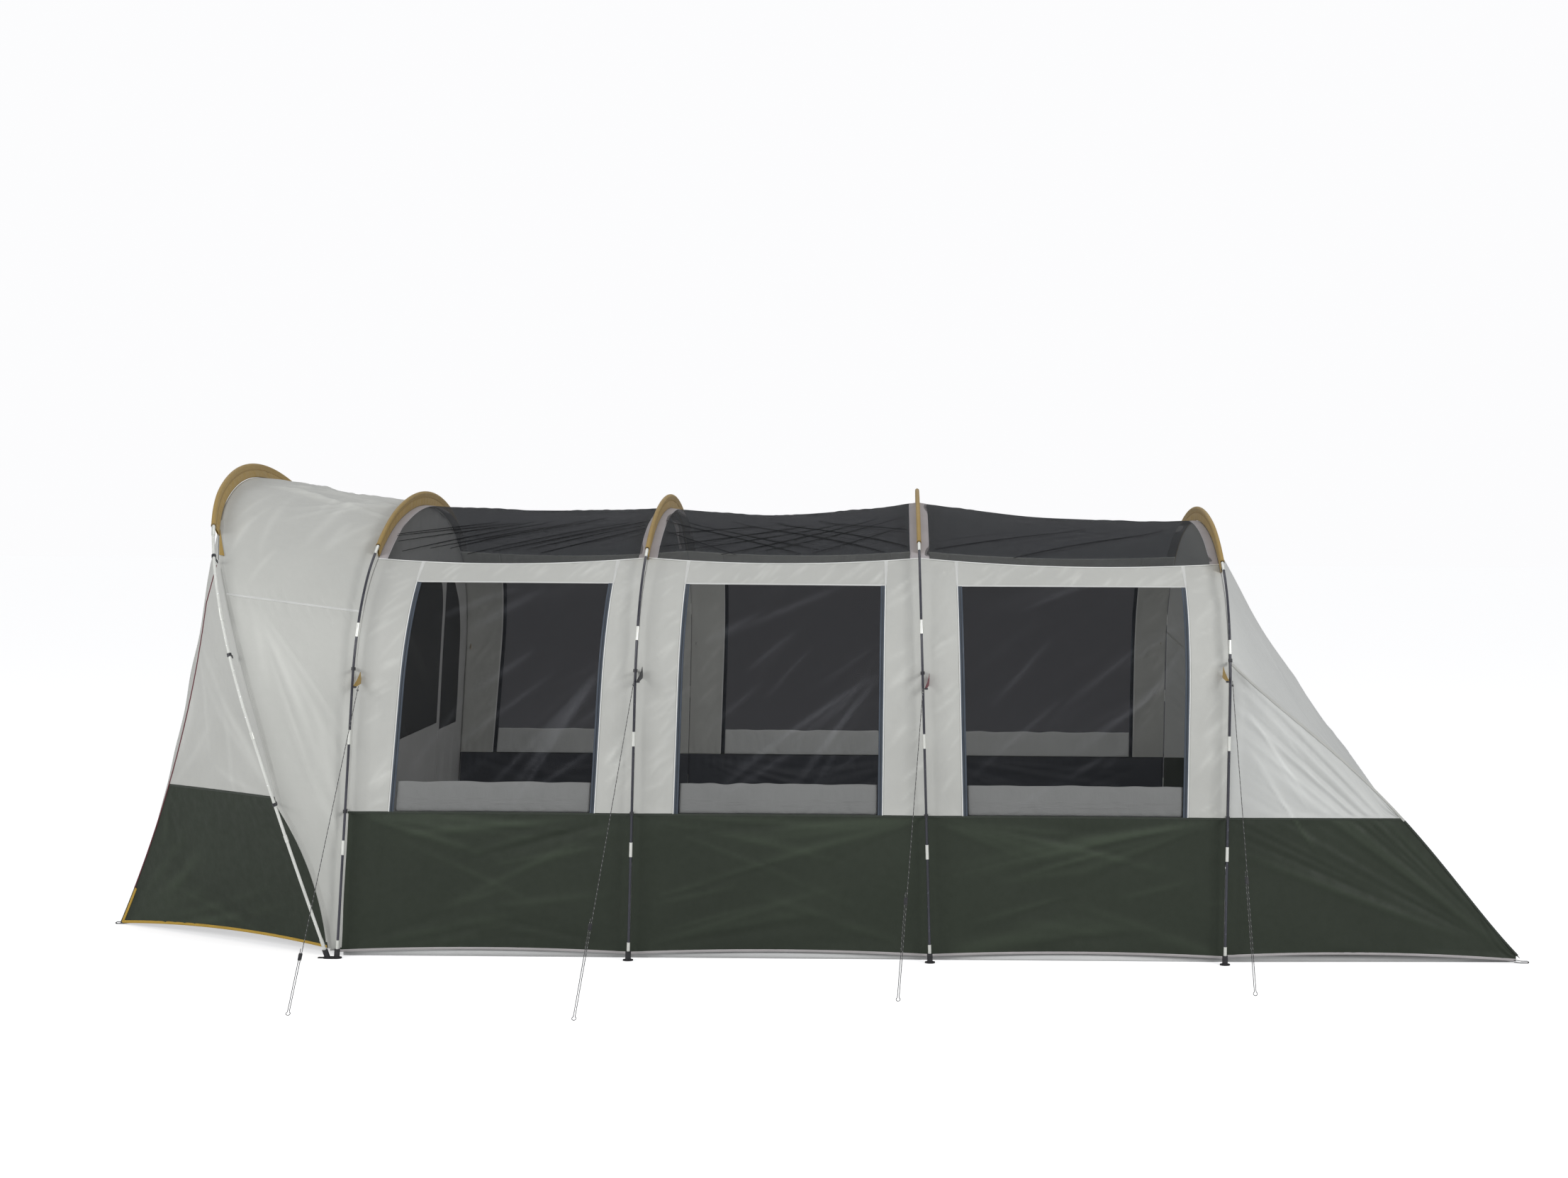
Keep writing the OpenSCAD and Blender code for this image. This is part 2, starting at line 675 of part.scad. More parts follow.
module front_door() {
    u = door_share - door_edge;
    color("gainsboro") sheet([
        for (k = [0:6]) [for (m = [0:6]) front(mix(-u, u, m / 6), mix(door_top, door_bottom, k / 6))]
    ]);
}

// A zip slider with its pull, lying along Z with its outer face towards X
module zip_slider() {
    translate([-2, -5, -7]) cube([4, 10, 14]);
    translate([2, -1, -3]) cube([2.5, 2, 6]);
    translate([3, -3.5, -26]) cube([1.5, 7, 22]);
}

front_zip_low = front(-door_share, door_bottom - 0.03);
front_zip_high = front(-door_share, door_top + 0.03);

module front_zip_slider() {
    d = front_zip_high - front_zip_low;
    color("black") translate(front_zip_low + [-8, 0, -2]) along(d) rotate([0, 0, 180]) zip_slider();
}

// ---------------------------------------------------------------- inner doorway

// Outline of the second hoop's fabric, drawn in by an edge width
function hoop_outline(edge) =
    let (
        cuts = concat([148, 120], [for (a = [90:-6:-90]) a], [-120, -148]),
        points = [for (a = cuts) rib_2d(1, a)]
    )
    [for (k = [0:len(points) - 1])
        let (p = points[k], m = min(90, abs(cuts[k])), side = cuts[k] < 0 ? -1 : 1)
        [p[0] - edge * side * sin(m), max(p[1] - edge * cos(m), 34)]];

// Rectangle with round top corners
module doorway(half_w, low, high, corner) {
    translate([-half_w, low]) square([2 * half_w, high - low - corner]);
    translate([-half_w + corner, high - corner - 1]) square([2 * (half_w - corner), corner + 1]);
    for (side = [-1, 1]) translate([side * (half_w - corner), high - corner]) circle(corner, $fn = 96);
}

inner_corner = 260;
inner_strip = 30;
inner_edge = 2;

// The meshed part is the hoop's own outline drawn in, above the mesh line
module mesh_area(grow) {
    intersection() {
        polygon(hoop_outline(190 - grow));
        translate([-inner_mesh_half_w - grow, inner_mesh_z - grow])
            square([2 * (inner_mesh_half_w + grow), 1200]);
    }
}

module inner_wall() {
    color("silver") on_hoop(1) translate([0, 0, -fabric_t / 2]) linear_extrude(fabric_t) {
        difference() {
            polygon(hoop_outline(4));
            doorway(inner_door_half_w + inner_edge, inner_sill_z - inner_edge,
                inner_door_top_z + inner_edge, inner_corner + inner_edge);
            difference() {
                mesh_area(0);
                translate([-inner_door_half_w - inner_strip, 0])
                    square([2 * (inner_door_half_w + inner_strip), 2200]);
            }
        }
    }
}

module inner_wall_mesh() {
    color("slategray") on_hoop(1) translate([0, 0, -fabric_t / 2]) linear_extrude(fabric_t)
        difference() {
            mesh_area(-1.5);
            translate([-inner_door_half_w - inner_strip - 1.5, 0])
                square([2 * (inner_door_half_w + inner_strip + 1.5), 2200]);
        }
}

module inner_door_shape(edge) {
    doorway(inner_door_half_w - edge, inner_mesh_z + edge, inner_door_top_z - edge, inner_corner - edge);
}

module inner_door() {
    color("silver") on_hoop(1) translate([0, 0, -fabric_t / 2]) linear_extrude(fabric_t) difference() {
        doorway(inner_door_half_w - inner_edge, inner_sill_z + inner_edge,
            inner_door_top_z - inner_edge, inner_corner - inner_edge);
        inner_door_shape(40);
    }
}

module inner_door_mesh() {
    color("slategray") on_hoop(1) translate([0, 0, -fabric_t / 2]) linear_extrude(fabric_t)
        inner_door_shape(41.5);
}

module inner_zip_slider() {
    color("black") on_hoop(1) translate([-inner_door_half_w, inner_sill_z + 60, -5.5])
        rotate([-90, 0, 0]) rotate([0, 0, -90]) rotate([0, 0, 180]) zip_slider();
}

// ---------------------------------------------------------------- rear

rear_first = 0.002;
rear_cols = 14;

module rear_slope_upper() {
    color("gainsboro") sheet([
        for (k = [0:7]) [for (m = [0:rear_cols])
            let (u = mix(-0.998, 0.998, m / rear_cols))
            rear(u, mix(rear_first, rear_drop(u, band_z + panel_gap / 2), k / 7))]
    ]);
}

module rear_slope_lower() {
    color("darkslategray") sheet([
        for (k = [0:4]) [for (m = [0:rear_cols])
            let (u = mix(-0.998, 0.998, m / rear_cols))
            rear(u, mix(rear_drop(u, band_z - panel_gap / 2), 1, k / 4))]
    ]);
}

// Share of the way up the near rear side at which height z is reached
function side_share(t, z) = (z - rear_side(t, 0)[2]) / (rear_side(t, 1)[2] - rear_side(t, 0)[2]);
// The ridge passes the top of the dark band here
rear_split_t = rear_drop(-1, band_z) + 0.005;

module rear_sides_upper() {
    color("gainsboro") both_sides() sheet([
        for (k = [0:3]) [for (m = [0:5])
            let (
                t = mix(rear_first, rear_split_t - 0.01, m / 5),
                low = side_share(t, band_z + panel_gap / 2)
            )
            rear_side(t, mix(low, 0.997, k / 3))]
    ]);
}

module rear_sides_lower() {
    color("darkolivegreen") both_sides() sheet([
        for (k = [0:3]) [for (m = [0:8])
            let (
                t = mix(rear_first, 0.985, m / 8),
                high = t < rear_split_t ? side_share(t, band_z - panel_gap / 2) : 0.99
            )
            rear_side(t, mix(0, min(0.99, high), k / 3))]
    ]);
}

// ---------------------------------------------------------------- groundsheet

function floor_plan(edge) =
    let (
        half = rib_2d(1, 150)[0] - wall_sag - 8 - edge,
        front_edge = hoop_2_x + 12 + edge,
        rear_edge = rear_x - 22 - edge,
        rear_half = rear_half_w - 30 - edge
    )
    [[front_edge, -half], [rear_hoop_x, -half], [rear_edge, -rear_half],
     [rear_edge, rear_half], [rear_hoop_x, half], [front_edge, half]];

// The raised edge is one strip for each side of the floor
module groundsheet() {
    outer = floor_plan(0);
    inner = floor_plan(floor_t);
    gap = 0.0005;
    color("gray") {
        linear_extrude(floor_t) polygon(outer);
        for (k = [0:5]) let (n = (k + 1) % 6) translate([0, 0, floor_t + 0.3]) linear_extrude(floor_rim_h)
            polygon([mix(outer[k], outer[n], gap), mix(outer[k], outer[n], 1 - gap),
                mix(inner[k], inner[n], 1 - gap), mix(inner[k], inner[n], gap)]);
    }
}

// ---------------------------------------------------------------- webbing

// Loop of flat tape that lies on the ground and runs away from a corner
module peg_loop(p, heading, l) {
    translate(p) rotate([0, 0, heading]) difference() {
        translate([0, -9, 0]) cube([l, 18, 3]);
        translate([8, -5, -1]) cube([l - 14, 10, 5]);
    }
}

// Triangle of tape that passes beside a pole, for a guy line to be tied to
guy_tab_side = [0, 1, 1, 1, -1];
module guy_tab(i) {
    top = guy_top[i];
    pole_x = hoop_x[i] + tan(lean[i]) * top[2];
    wall_y = -rib_2d(i, 90)[0];
    translate([pole_x + guy_tab_side[i] * 14, 0, 0]) rotate([90, 0, 90]) linear_extrude(2, center = true)
        polygon([
            [wall_y - 2, top[2] + 62], [wall_y - 2, top[2] + 4],
            [top[1] + 3, top[2] - 9], [top[1] + 3, top[2] + 4]
        ]);
}

corner_loop_l = 40;
corner_loop_start = 3180 - corner_loop_l;

module webbing() {
    color("silver") {
        both_sides() peg_loop([-corner_loop_start, -front_half_w, 0], 180, corner_loop_l);
        both_sides() peg_loop([corner_loop_start, -rear_half_w, 0], 0, corner_loop_l);
        both_sides() for (i = [1:4]) guy_tab(i);
    }
}

// ---------------------------------------------------------------- guy lines

function guy_dir(i) = unit(guy_peg[i] - guy_top[i]);
function guy_across(i) = unit(cross(guy_dir(i), [0, guy_dir(i)[2], -guy_dir(i)[1]]));
function guy_length(i) = norm(guy_peg[i] - guy_top[i]);
function guy_point(i, s, off) = guy_top[i] + guy_dir(i) * s + guy_across(i) * off;

// The line runs down to its peg, turns in an open loop and comes back up through the slider
function guy_route(i) =
    let (
        l = guy_length(i),
        at = guy_slider_at[i] * l,
        mid = guy_pitch / 2,
        turn_s = l - guy_loop_r,
        straight = l - 5 * guy_loop_r
    )
    concat(
        [for (k = [0:6]) guy_point(i, mix(0, straight, k / 6), 0)],
        [for (a = [-60:30:240]) guy_point(i, turn_s + guy_loop_r * sin(a), mid - guy_loop_r * cos(a))],
        [for (k = [0:4]) guy_point(i, mix(straight, at - slider_l / 2 - guy_tail, k / 4), guy_pitch)]
    );

guy_sides = 8;

module guy_line(i) {
    route = guy_route(i);
    count = len(route);
    rings = [for (k = [0:count - 1])
        let (
            d = unit(route[min(k + 1, count - 1)] - route[max(k - 1, 0)]),
            side = unit(cross(d, cross(guy_dir(i), guy_across(i)))),
            up = cross(side, d)
        )
        [for (m = [0:guy_sides - 1])
            route[k] + guy_d / 2 * (side * cos(m * 360 / guy_sides) + up * sin(m * 360 / guy_sides))]];
    points = [for (r = rings) each r];
    last = (count - 1) * guy_sides;
    color("black") polyhedron(points, concat(
        [[for (m = [0:guy_sides - 1]) m]],
        [for (k = [0:count - 2]) for (m = [0:guy_sides - 1])
            let (a = k * guy_sides + m, b = k * guy_sides + (m + 1) % guy_sides)
            each [[a, a + guy_sides, b + guy_sides], [a, b + guy_sides, b]]],
        [[for (m = [guy_sides - 1:-1:0]) last + m]]
    ));
}

// A flat runner with one hole for each run of the line
module slider(i) {
    at = guy_point(i, guy_slider_at[i] * guy_length(i), guy_pitch / 2);
    hole_r = guy_d / 2 + 0.5;
    z = guy_dir(i);
    y = guy_across(i);
    x = cross(y, z);
    color("dimgray") multmatrix([for (k = [0:2]) [x[k], y[k], z[k], at[k]]])
        difference() {
            hull() for (k = [-1, 1]) translate([0, k * guy_pitch / 2, 0])
                cylinder(r = hole_r + 2, h = slider_l, center = true, $fn = 32);
            for (k = [-1, 1]) translate([0, k * guy_pitch / 2, 0])
                cylinder(r = hole_r, h = slider_l + 2, center = true, $fn = small_fn);
        }
}

// ---------------------------------------------------------------- nodes

hoop(0);  // hoop_1
hoop(1);  // hoop_2
hoop(2);  // hoop_3
hoop(3);  // hoop_4
hoop(4);  // hoop_5
shock_cords();
pole_ferrules();
hoop_feet();
front_feet();
pole_clips();
sleeve(0);  // sleeve_1
sleeve(1);  // sleeve_2
sleeve(2);  // sleeve_3
sleeve(3);  // sleeve_4
sleeve(4);  // sleeve_5
groundsheet();
lower_walls();
upper_wall(1);  // upper_wall_1
upper_wall(2);  // upper_wall_2
upper_wall(3);  // upper_wall_3
window_mesh(1);  // window_mesh_1
window_mesh(2);  // window_mesh_2
window_mesh(3);  // window_mesh_3
window_pockets();
roof_mesh(1);  // roof_mesh_1
roof_mesh(2);  // roof_mesh_2
roof_mesh(3);  // roof_mesh_3
canopy();
wings_upper();
wings_lower();
front_wall();
front_door();
front_zip_slider();
inner_wall();
inner_wall_mesh();
inner_door();
inner_door_mesh();
inner_zip_slider();
rear_sides_upper();
rear_sides_lower();
rear_slope_upper();
rear_slope_lower();
webbing();
guy_line(1);  // guy_near_2
guy_line(2);  // guy_near_3
guy_line(3);  // guy_near_4
guy_line(4);  // guy_near_5
mirror([0, 1, 0]) guy_line(1);  // guy_far_2
mirror([0, 1, 0]) guy_line(2);  // guy_far_3
mirror([0, 1, 0]) guy_line(3);  // guy_far_4
mirror([0, 1, 0]) guy_line(4);  // guy_far_5
slider(1);  // slider_near_2
slider(2);  // slider_near_3
slider(3);  // slider_near_4
slider(4);  // slider_near_5
mirror([0, 1, 0]) slider(1);  // slider_far_2
mirror([0, 1, 0]) slider(2);  // slider_far_3
mirror([0, 1, 0]) slider(3);  // slider_far_4
mirror([0, 1, 0]) slider(4);  // slider_far_5
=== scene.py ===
import math

import bmesh
import bpy
import numpy as np
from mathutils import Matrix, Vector


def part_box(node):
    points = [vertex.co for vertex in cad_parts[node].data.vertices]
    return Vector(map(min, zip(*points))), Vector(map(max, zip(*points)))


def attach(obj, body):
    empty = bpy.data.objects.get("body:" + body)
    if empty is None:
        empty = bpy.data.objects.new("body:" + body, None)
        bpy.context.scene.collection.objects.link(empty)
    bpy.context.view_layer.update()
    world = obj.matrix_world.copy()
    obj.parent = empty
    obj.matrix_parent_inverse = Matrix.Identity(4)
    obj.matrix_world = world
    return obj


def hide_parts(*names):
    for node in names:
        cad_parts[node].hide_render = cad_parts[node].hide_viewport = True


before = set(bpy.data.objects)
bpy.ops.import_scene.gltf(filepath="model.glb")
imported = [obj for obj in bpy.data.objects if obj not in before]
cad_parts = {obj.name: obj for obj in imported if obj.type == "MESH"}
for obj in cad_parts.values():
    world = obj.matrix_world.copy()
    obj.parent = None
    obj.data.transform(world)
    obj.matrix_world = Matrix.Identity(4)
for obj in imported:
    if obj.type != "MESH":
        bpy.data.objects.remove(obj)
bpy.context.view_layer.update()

# ---------------------------------------------------------------- sizes

# A hoop is a run of arcs from its crown: radius of each, and the degrees that it turns
CANOPY_ARCS = ((2.250, 1.107, 7.364), (19, 71, 8.37))
BAY_ARCS = ((2.700, 1.500, 0.633), (13, 22, 55))
# How much less each arc's radius is in the fabric inside the pole
CANOPY_FABRIC = (0.060, 0.050, 0.053)
BAY_FABRIC = (0.060, 0.055, 0.033)
CROWN_INSET = 0.060
LEG_TURN = 60
# The canopy's front edge bows back from its pole, below its clip and above it
CANOPY_CLIP_H = 0.68
CANOPY_UPPER_H = 1.10
CANOPY_BOW = (0.045, 0.028)
CANOPY_POLE_R = 0.0065
POLE_R = 0.0055

SEAM_Z = (0, 1.707, 1.719, 1.727, 1.708)
SEAM_SAG = 0.025
ROOF_SAG = (0, 0.022, 0.043, 0.034)
WALL_SAG = 0.018
HEM_Z = 0.027
HEM_LIFT = 0.012
BAND_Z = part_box("lower_walls")[1].z + 0.001
WINDOW_TOP_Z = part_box("window_mesh_1")[1].z + 0.002
WINDOW_X = ((), (-1.681, -0.819, -1.756, -0.869), (-0.503, 0.377, -0.530, 0.373),
            (0.691, 1.700, 0.719, 1.689))
POCKET_H = 0.134
GAP = 0.001

FRONT_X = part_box("front_wall")[0].x
FRONT_HALF_W = 0.560
FRONT_TURN = 46
FRONT_HOLLOW = 0.052
DOOR_HOLLOW = 0.034
WING_BAND_Z = 0.685
WING_HEM_Z = 0.030
WING_HEM_LIFT = 0.030
DOOR_U = 0.5
DOOR_TOP = 0.16
DOOR_BOTTOM = 0.93

REAR_X = 3.138
REAR_HALF_W = 1.300
RIDGE_Z = 1.300
# The slope is hollow near its top and its ridges bow out: how far, and which way in X and Z
REAR_HOLLOW = 0.045
HOLLOW_WAY = (0.83, 0.56)
RIDGE_BOW = 0.060
BOW_WAY = (0.70, 0.72)
REAR_GROUND_Z = 0.020
REAR_HEM_LIFT = 0.020

CLOTH = 0.0012
NET = 0.0008
SIDES = {"near": -1, "far": 1}


def cad_points(node):
    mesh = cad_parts[node].data
    points = np.empty(len(mesh.vertices) * 3)
    mesh.vertices.foreach_get("co", points)
    return points.reshape(-1, 3)


def measured_hoop(number):
    """(x of the feet, lean in radians, crown up the hoop's own plane) of a CAD hoop."""
    points = cad_points(f"hoop_{number}")
    slope, foot_x = np.polyfit(points[:, 2], points[:, 0], 1)
    lean = math.atan(slope)
    top = points[np.abs(points[:, 1]) < 0.002].mean(0)
    return foot_x, lean, (top[0] - foot_x) * math.sin(lean) + top[2] * math.cos(lean)


HOOPS = [measured_hoop(number) for number in range(1, 6)]

# ---------------------------------------------------------------- camera

CAMERA_AT = (0.485, -12.17, 1.94)
CAMERA_ROLL = 0.0078
camera = bpy.data.objects.new("camera", bpy.data.cameras.new("camera"))
bpy.context.scene.collection.objects.link(camera)
camera.location = CAMERA_AT
camera.rotation_euler = (math.pi / 2, -CAMERA_ROLL, 0)
camera.data.sensor_width = 36
camera.data.lens = 57.66
camera.data.shift_x = -0.0809
camera.data.shift_y = -0.0502
camera.data.clip_end = 300
bpy.context.scene.camera = camera

# ---------------------------------------------------------------- materials


class Nodes:
    """Short names for making a material's node tree."""

    def __init__(self, name):
        self.material = bpy.data.materials.new(name)
        self.material.use_nodes = True
        self.tree = self.material.node_tree
        self.tree.nodes.clear()
        self.shader = self.new("ShaderNodeBsdfPrincipled")
        out = self.new("ShaderNodeOutputMaterial")
        self.tree.links.new(self.shader.outputs[0], out.inputs["Surface"])

    def new(self, kind, **values):
        node = self.tree.nodes.new(kind)
        for key, value in values.items():
            setattr(node, key, value)
        return node

    def link(self, output, target):
        self.tree.links.new(output, target)

    def feed(self, node, **inputs):
        """Sets or links a node's inputs by name, with _ for a space."""
        for key, value in inputs.items():
            socket = node.inputs[key.replace("_", " ")]
            if isinstance(value, bpy.types.NodeSocket):
                self.link(value, socket)
            else:
                socket.default_value = value
        return node

    def math(self, operation, a, b=0.0):
        node = self.new("ShaderNodeMath", operation=operation)
        for socket, value in zip(node.inputs, (a, b)):
            if isinstance(value, bpy.types.NodeSocket):
                self.link(value, socket)
            else:
                socket.default_value = value
        return node.outputs[0]

    def cloth_uv(self):
        return self.new("ShaderNodeUVMap", uv_map="cloth").outputs[0]

    def place(self):
        return self.new("ShaderNodeTexCoord").outputs["Object"]

    def noise(self, scale, detail=3.0, at=None, stretch=None):
        vector = at or self.place()
        if stretch:
            mapping = self.new("ShaderNodeMapping")
            self.link(vector, mapping.inputs["Vector"])
            mapping.inputs["Scale"].default_value = stretch
            vector = mapping.outputs[0]
        node = self.new("ShaderNodeTexNoise")
        return self.feed(node, Vector=vector, Scale=scale, Detail=detail).outputs["Fac"]

    def threads(self, across, pitch):
        """Rounded threads, one every pitch, as heights from 0 to 1."""
        turns = self.math("MULTIPLY", across, 2 * math.pi / pitch)
        return self.math("ABSOLUTE", self.math("SINE", turns))

    def along_across(self):
        """The cloth's own two coordinates, one by one."""
        split = self.new("ShaderNodeSeparateXYZ")
        self.link(self.cloth_uv(), split.inputs[0])
        return split.outputs[0], split.outputs[1]

    def weave(self, pitch):
        """Height of a plain weave of threads at pitch, from the cloth's own coordinates."""
        along, across = self.along_across()
        return self.math("MULTIPLY", self.threads(along, pitch), self.threads(across, pitch))

    def ramp(self, fac, low, high, dark, light):
        """Colour that goes from dark at low to light at high."""
        node = self.new("ShaderNodeValToRGB")
        self.link(fac, node.inputs[0])
        for stop, at, colour in zip(node.color_ramp.elements, (low, high), (dark, light)):
            stop.position = at
            stop.color = (*colour, 1)
        return node.outputs[0]

    def spread(self, fac, low, high):
        """The values 0.3 to 0.7 of fac, spread over low to high."""
        node = self.new("ShaderNodeMapRange")
        return self.feed(node, Value=fac, From_Min=0.3, From_Max=0.7, To_Min=low, To_Max=high).outputs[0]

    def mix(self, fac, a, b):
        node = self.new("ShaderNodeMix", data_type="RGBA")
        for index, value in ((0, fac), (6, a), (7, b)):
            if isinstance(value, bpy.types.NodeSocket):
                self.link(value, node.inputs[index])
            else:
                node.inputs[index].default_value = value
        return node.outputs[2]

    def bump(self, height, strength, distance, under=None):
        node = self.new("ShaderNodeBump")
        self.feed(node, Height=height, Strength=strength, Distance=distance)
        if under:
            self.link(under, node.inputs["Normal"])
        return node.outputs[0]

    def finish(self, colour, roughness, normal=None, **plain):
        shader = self.shader
        self.feed(shader, Base_Color=colour, Roughness=roughness)
        if normal:
            self.link(normal, shader.inputs["Normal"])
        for key, value in plain.items():
            shader.inputs[key.replace("_", " ")].default_value = value
        return self.material


def shade(colour, factor):
    return tuple(min(1.0, c * factor) for c in colour)


def cloth_material(name, colour, pitch=0.0008, roughness=0.62, spread=0.05, crinkle=0.5, sheen=0.12,
                   alpha=1.0, fold_highlight_gain=1.25, gloss=0.5):
    """Woven cloth: broad changes of tone, painted highlight along its folds, soft dents, a weave and a fine
    crinkle.
    With alpha under 1 it is mesh, whose threads are a change of tone."""
    n = Nodes(name)
    broad = n.noise(1.7, 2.0)
    tone = n.ramp(broad, 0.32, 0.68, shade(colour, 1 - spread), shade(colour, 1 + spread))
    dust = n.noise(26.0, 5.0)
    tone = n.mix(n.spread(dust, 0.0, 0.10), tone, (*shade(colour, 0.86), 1))
    # Painted highlight: the colour goes lighter along folds, standing in for light that catches them
    fold_highlight = n.new("ShaderNodeAttribute", attribute_name="fold_highlight").outputs["Fac"]
    tone = n.mix(fold_highlight, tone, (*shade(colour, fold_highlight_gain), 1))
    normal = None
    if alpha < 1:
        tone = n.mix(n.weave(pitch), (*shade(colour, 0.85), 1), tone)
    else:
        normal = n.bump(n.weave(pitch), 0.25, pitch * 0.35)
        dents = n.noise(8.0, 5.0, at=n.cloth_uv(), stretch=(1.0, 0.55, 1.0))
        normal = n.bump(dents, 0.55, 0.010, under=normal)
        fine = n.noise(55.0, 4.0, at=n.cloth_uv())
        normal = n.bump(fine, crinkle, 0.0012, under=normal)
    rough = n.spread(dust, roughness - 0.07, roughness + 0.08)
    return n.finish(tone, rough, normal, Alpha=alpha, Sheen_Weight=sheen, Sheen_Roughness=0.45,
                    Specular_IOR_Level=gloss)


def tape_material(name, colour, rows=(0.0035,), ribs=0.0016, roughness=0.7, stitch=0.72):
    """Narrow tape: ribs across it, and rows of stitches at these distances from its middle."""
    n = Nodes(name)
    along, across = n.along_across()
    rib = n.threads(along, ribs)
    dash = n.math("GREATER_THAN", n.math("SINE", n.math("MULTIPLY", along, 2 * math.pi / 0.0045)), -0.4)
    rows_at = n.math("ABSOLUTE", across)
    thread = 0.0
    for row in rows:
        near = n.math("LESS_THAN", n.math("ABSOLUTE", n.math("SUBTRACT", rows_at, row)), 0.0006)
        thread = n.math("MAXIMUM", near, thread)
    thread = n.math("MULTIPLY", thread, dash)
    tone = n.ramp(n.noise(9.0, 4.0), 0.3, 0.7, shade(colour, 0.93), shade(colour, 1.06))
    tone = n.mix(thread, tone, (*shade(colour, stitch), 1))
    normal = n.bump(thread, 0.6, 0.0006, under=n.bump(rib, 0.3, 0.0004))
    return n.finish(tone, n.spread(n.noise(120.0), roughness - 0.06, roughness + 0.06), normal,
                    Sheen_Weight=0.1)


def zip_tape_material():
    """Blue-grey zip tape with a coil of teeth down its middle."""
    n = Nodes("zip_tape")
    along, across = n.along_across()
    coil = n.math("LESS_THAN", n.math("ABSOLUTE", across), 0.0026)
    teeth = n.math("MULTIPLY", coil, n.threads(along, 0.0030))
    tone = n.ramp(n.noise(14.0, 4.0), 0.3, 0.7, (0.037, 0.050, 0.070), (0.050, 0.066, 0.090))
    tone = n.mix(teeth, tone, (0.022, 0.028, 0.036, 1))
    normal = n.bump(teeth, 0.8, 0.0010, under=n.bump(n.threads(across, 0.0012), 0.3, 0.0003))
    return n.finish(tone, n.spread(n.noise(90.0), 0.45, 0.62), normal, Sheen_Weight=0.08)


def pole_material(name, colour, light, gloss=0.34):
    """Wrapped glass fibre: fine lengthwise streaks, scuffs and a thin clear coat."""
    n = Nodes(name)
    streaks = n.noise(34.0, 5.0, stretch=(1, 1, 0.05))
    scuffs = n.noise(95.0, 6.0)
    tone = n.ramp(streaks, 0.3, 0.72, colour, light)
    tone = n.mix(n.math("GREATER_THAN", scuffs, 0.66), tone, (*shade(light, 1.5), 1))
    return n.finish(tone, n.spread(scuffs, gloss - 0.06, gloss + 0.14),
                    n.bump(streaks, 0.2, 0.0004), Coat_Weight=0.25, Coat_Roughness=0.25)


def metal_material(name, colour, roughness):
    n = Nodes(name)
    brushed = n.noise(70.0, 4.0, stretch=(1, 1, 0.08))
    tone = n.ramp(brushed, 0.3, 0.7, shade(colour, 0.88), shade(colour, 1.08))
    return n.finish(tone, n.spread(n.noise(150.0, 5.0), roughness - 0.08, roughness + 0.1),
                    n.bump(brushed, 0.25, 0.0002), Metallic=0.55)


def plastic_material(name, colour, roughness=0.48):
    """Moulded plastic with a fine grain and paler scuffs."""
    n = Nodes(name)
    grain = n.noise(420.0, 3.0)
    wear = n.noise(60.0, 6.0)
    tone = n.ramp(wear, 0.42, 0.78, colour, shade(colour, 1.9))
    return n.finish(tone, n.spread(wear, roughness - 0.08, roughness + 0.12),
                    n.bump(grain, 0.35, 0.00025))


def rope_material():
    """Twisted cord: black strands with a white fleck that runs round it."""
    n = Nodes("guy_rope")
    along, round_it = n.along_across()
    turn = n.math("ADD", n.math("MULTIPLY", along, 2 * math.pi / 0.024),
                  n.math("MULTIPLY", round_it, 2 * math.pi))
    strands = n.math("ABSOLUTE", n.math("SINE", n.math("MULTIPLY", turn, 1.5)))
    fleck = n.math("GREATER_THAN", n.math("SINE", turn), 0.88)
    tone = n.ramp(n.noise(300.0, 3.0), 0.3, 0.7, (0.010, 0.010, 0.011), (0.028, 0.028, 0.030))
    tone = n.mix(fleck, tone, (0.40, 0.40, 0.39, 1))
    return n.finish(tone, n.spread(n.noise(500.0), 0.62, 0.8), n.bump(strands, 0.9, 0.0006),
                    Sheen_Weight=0.2)


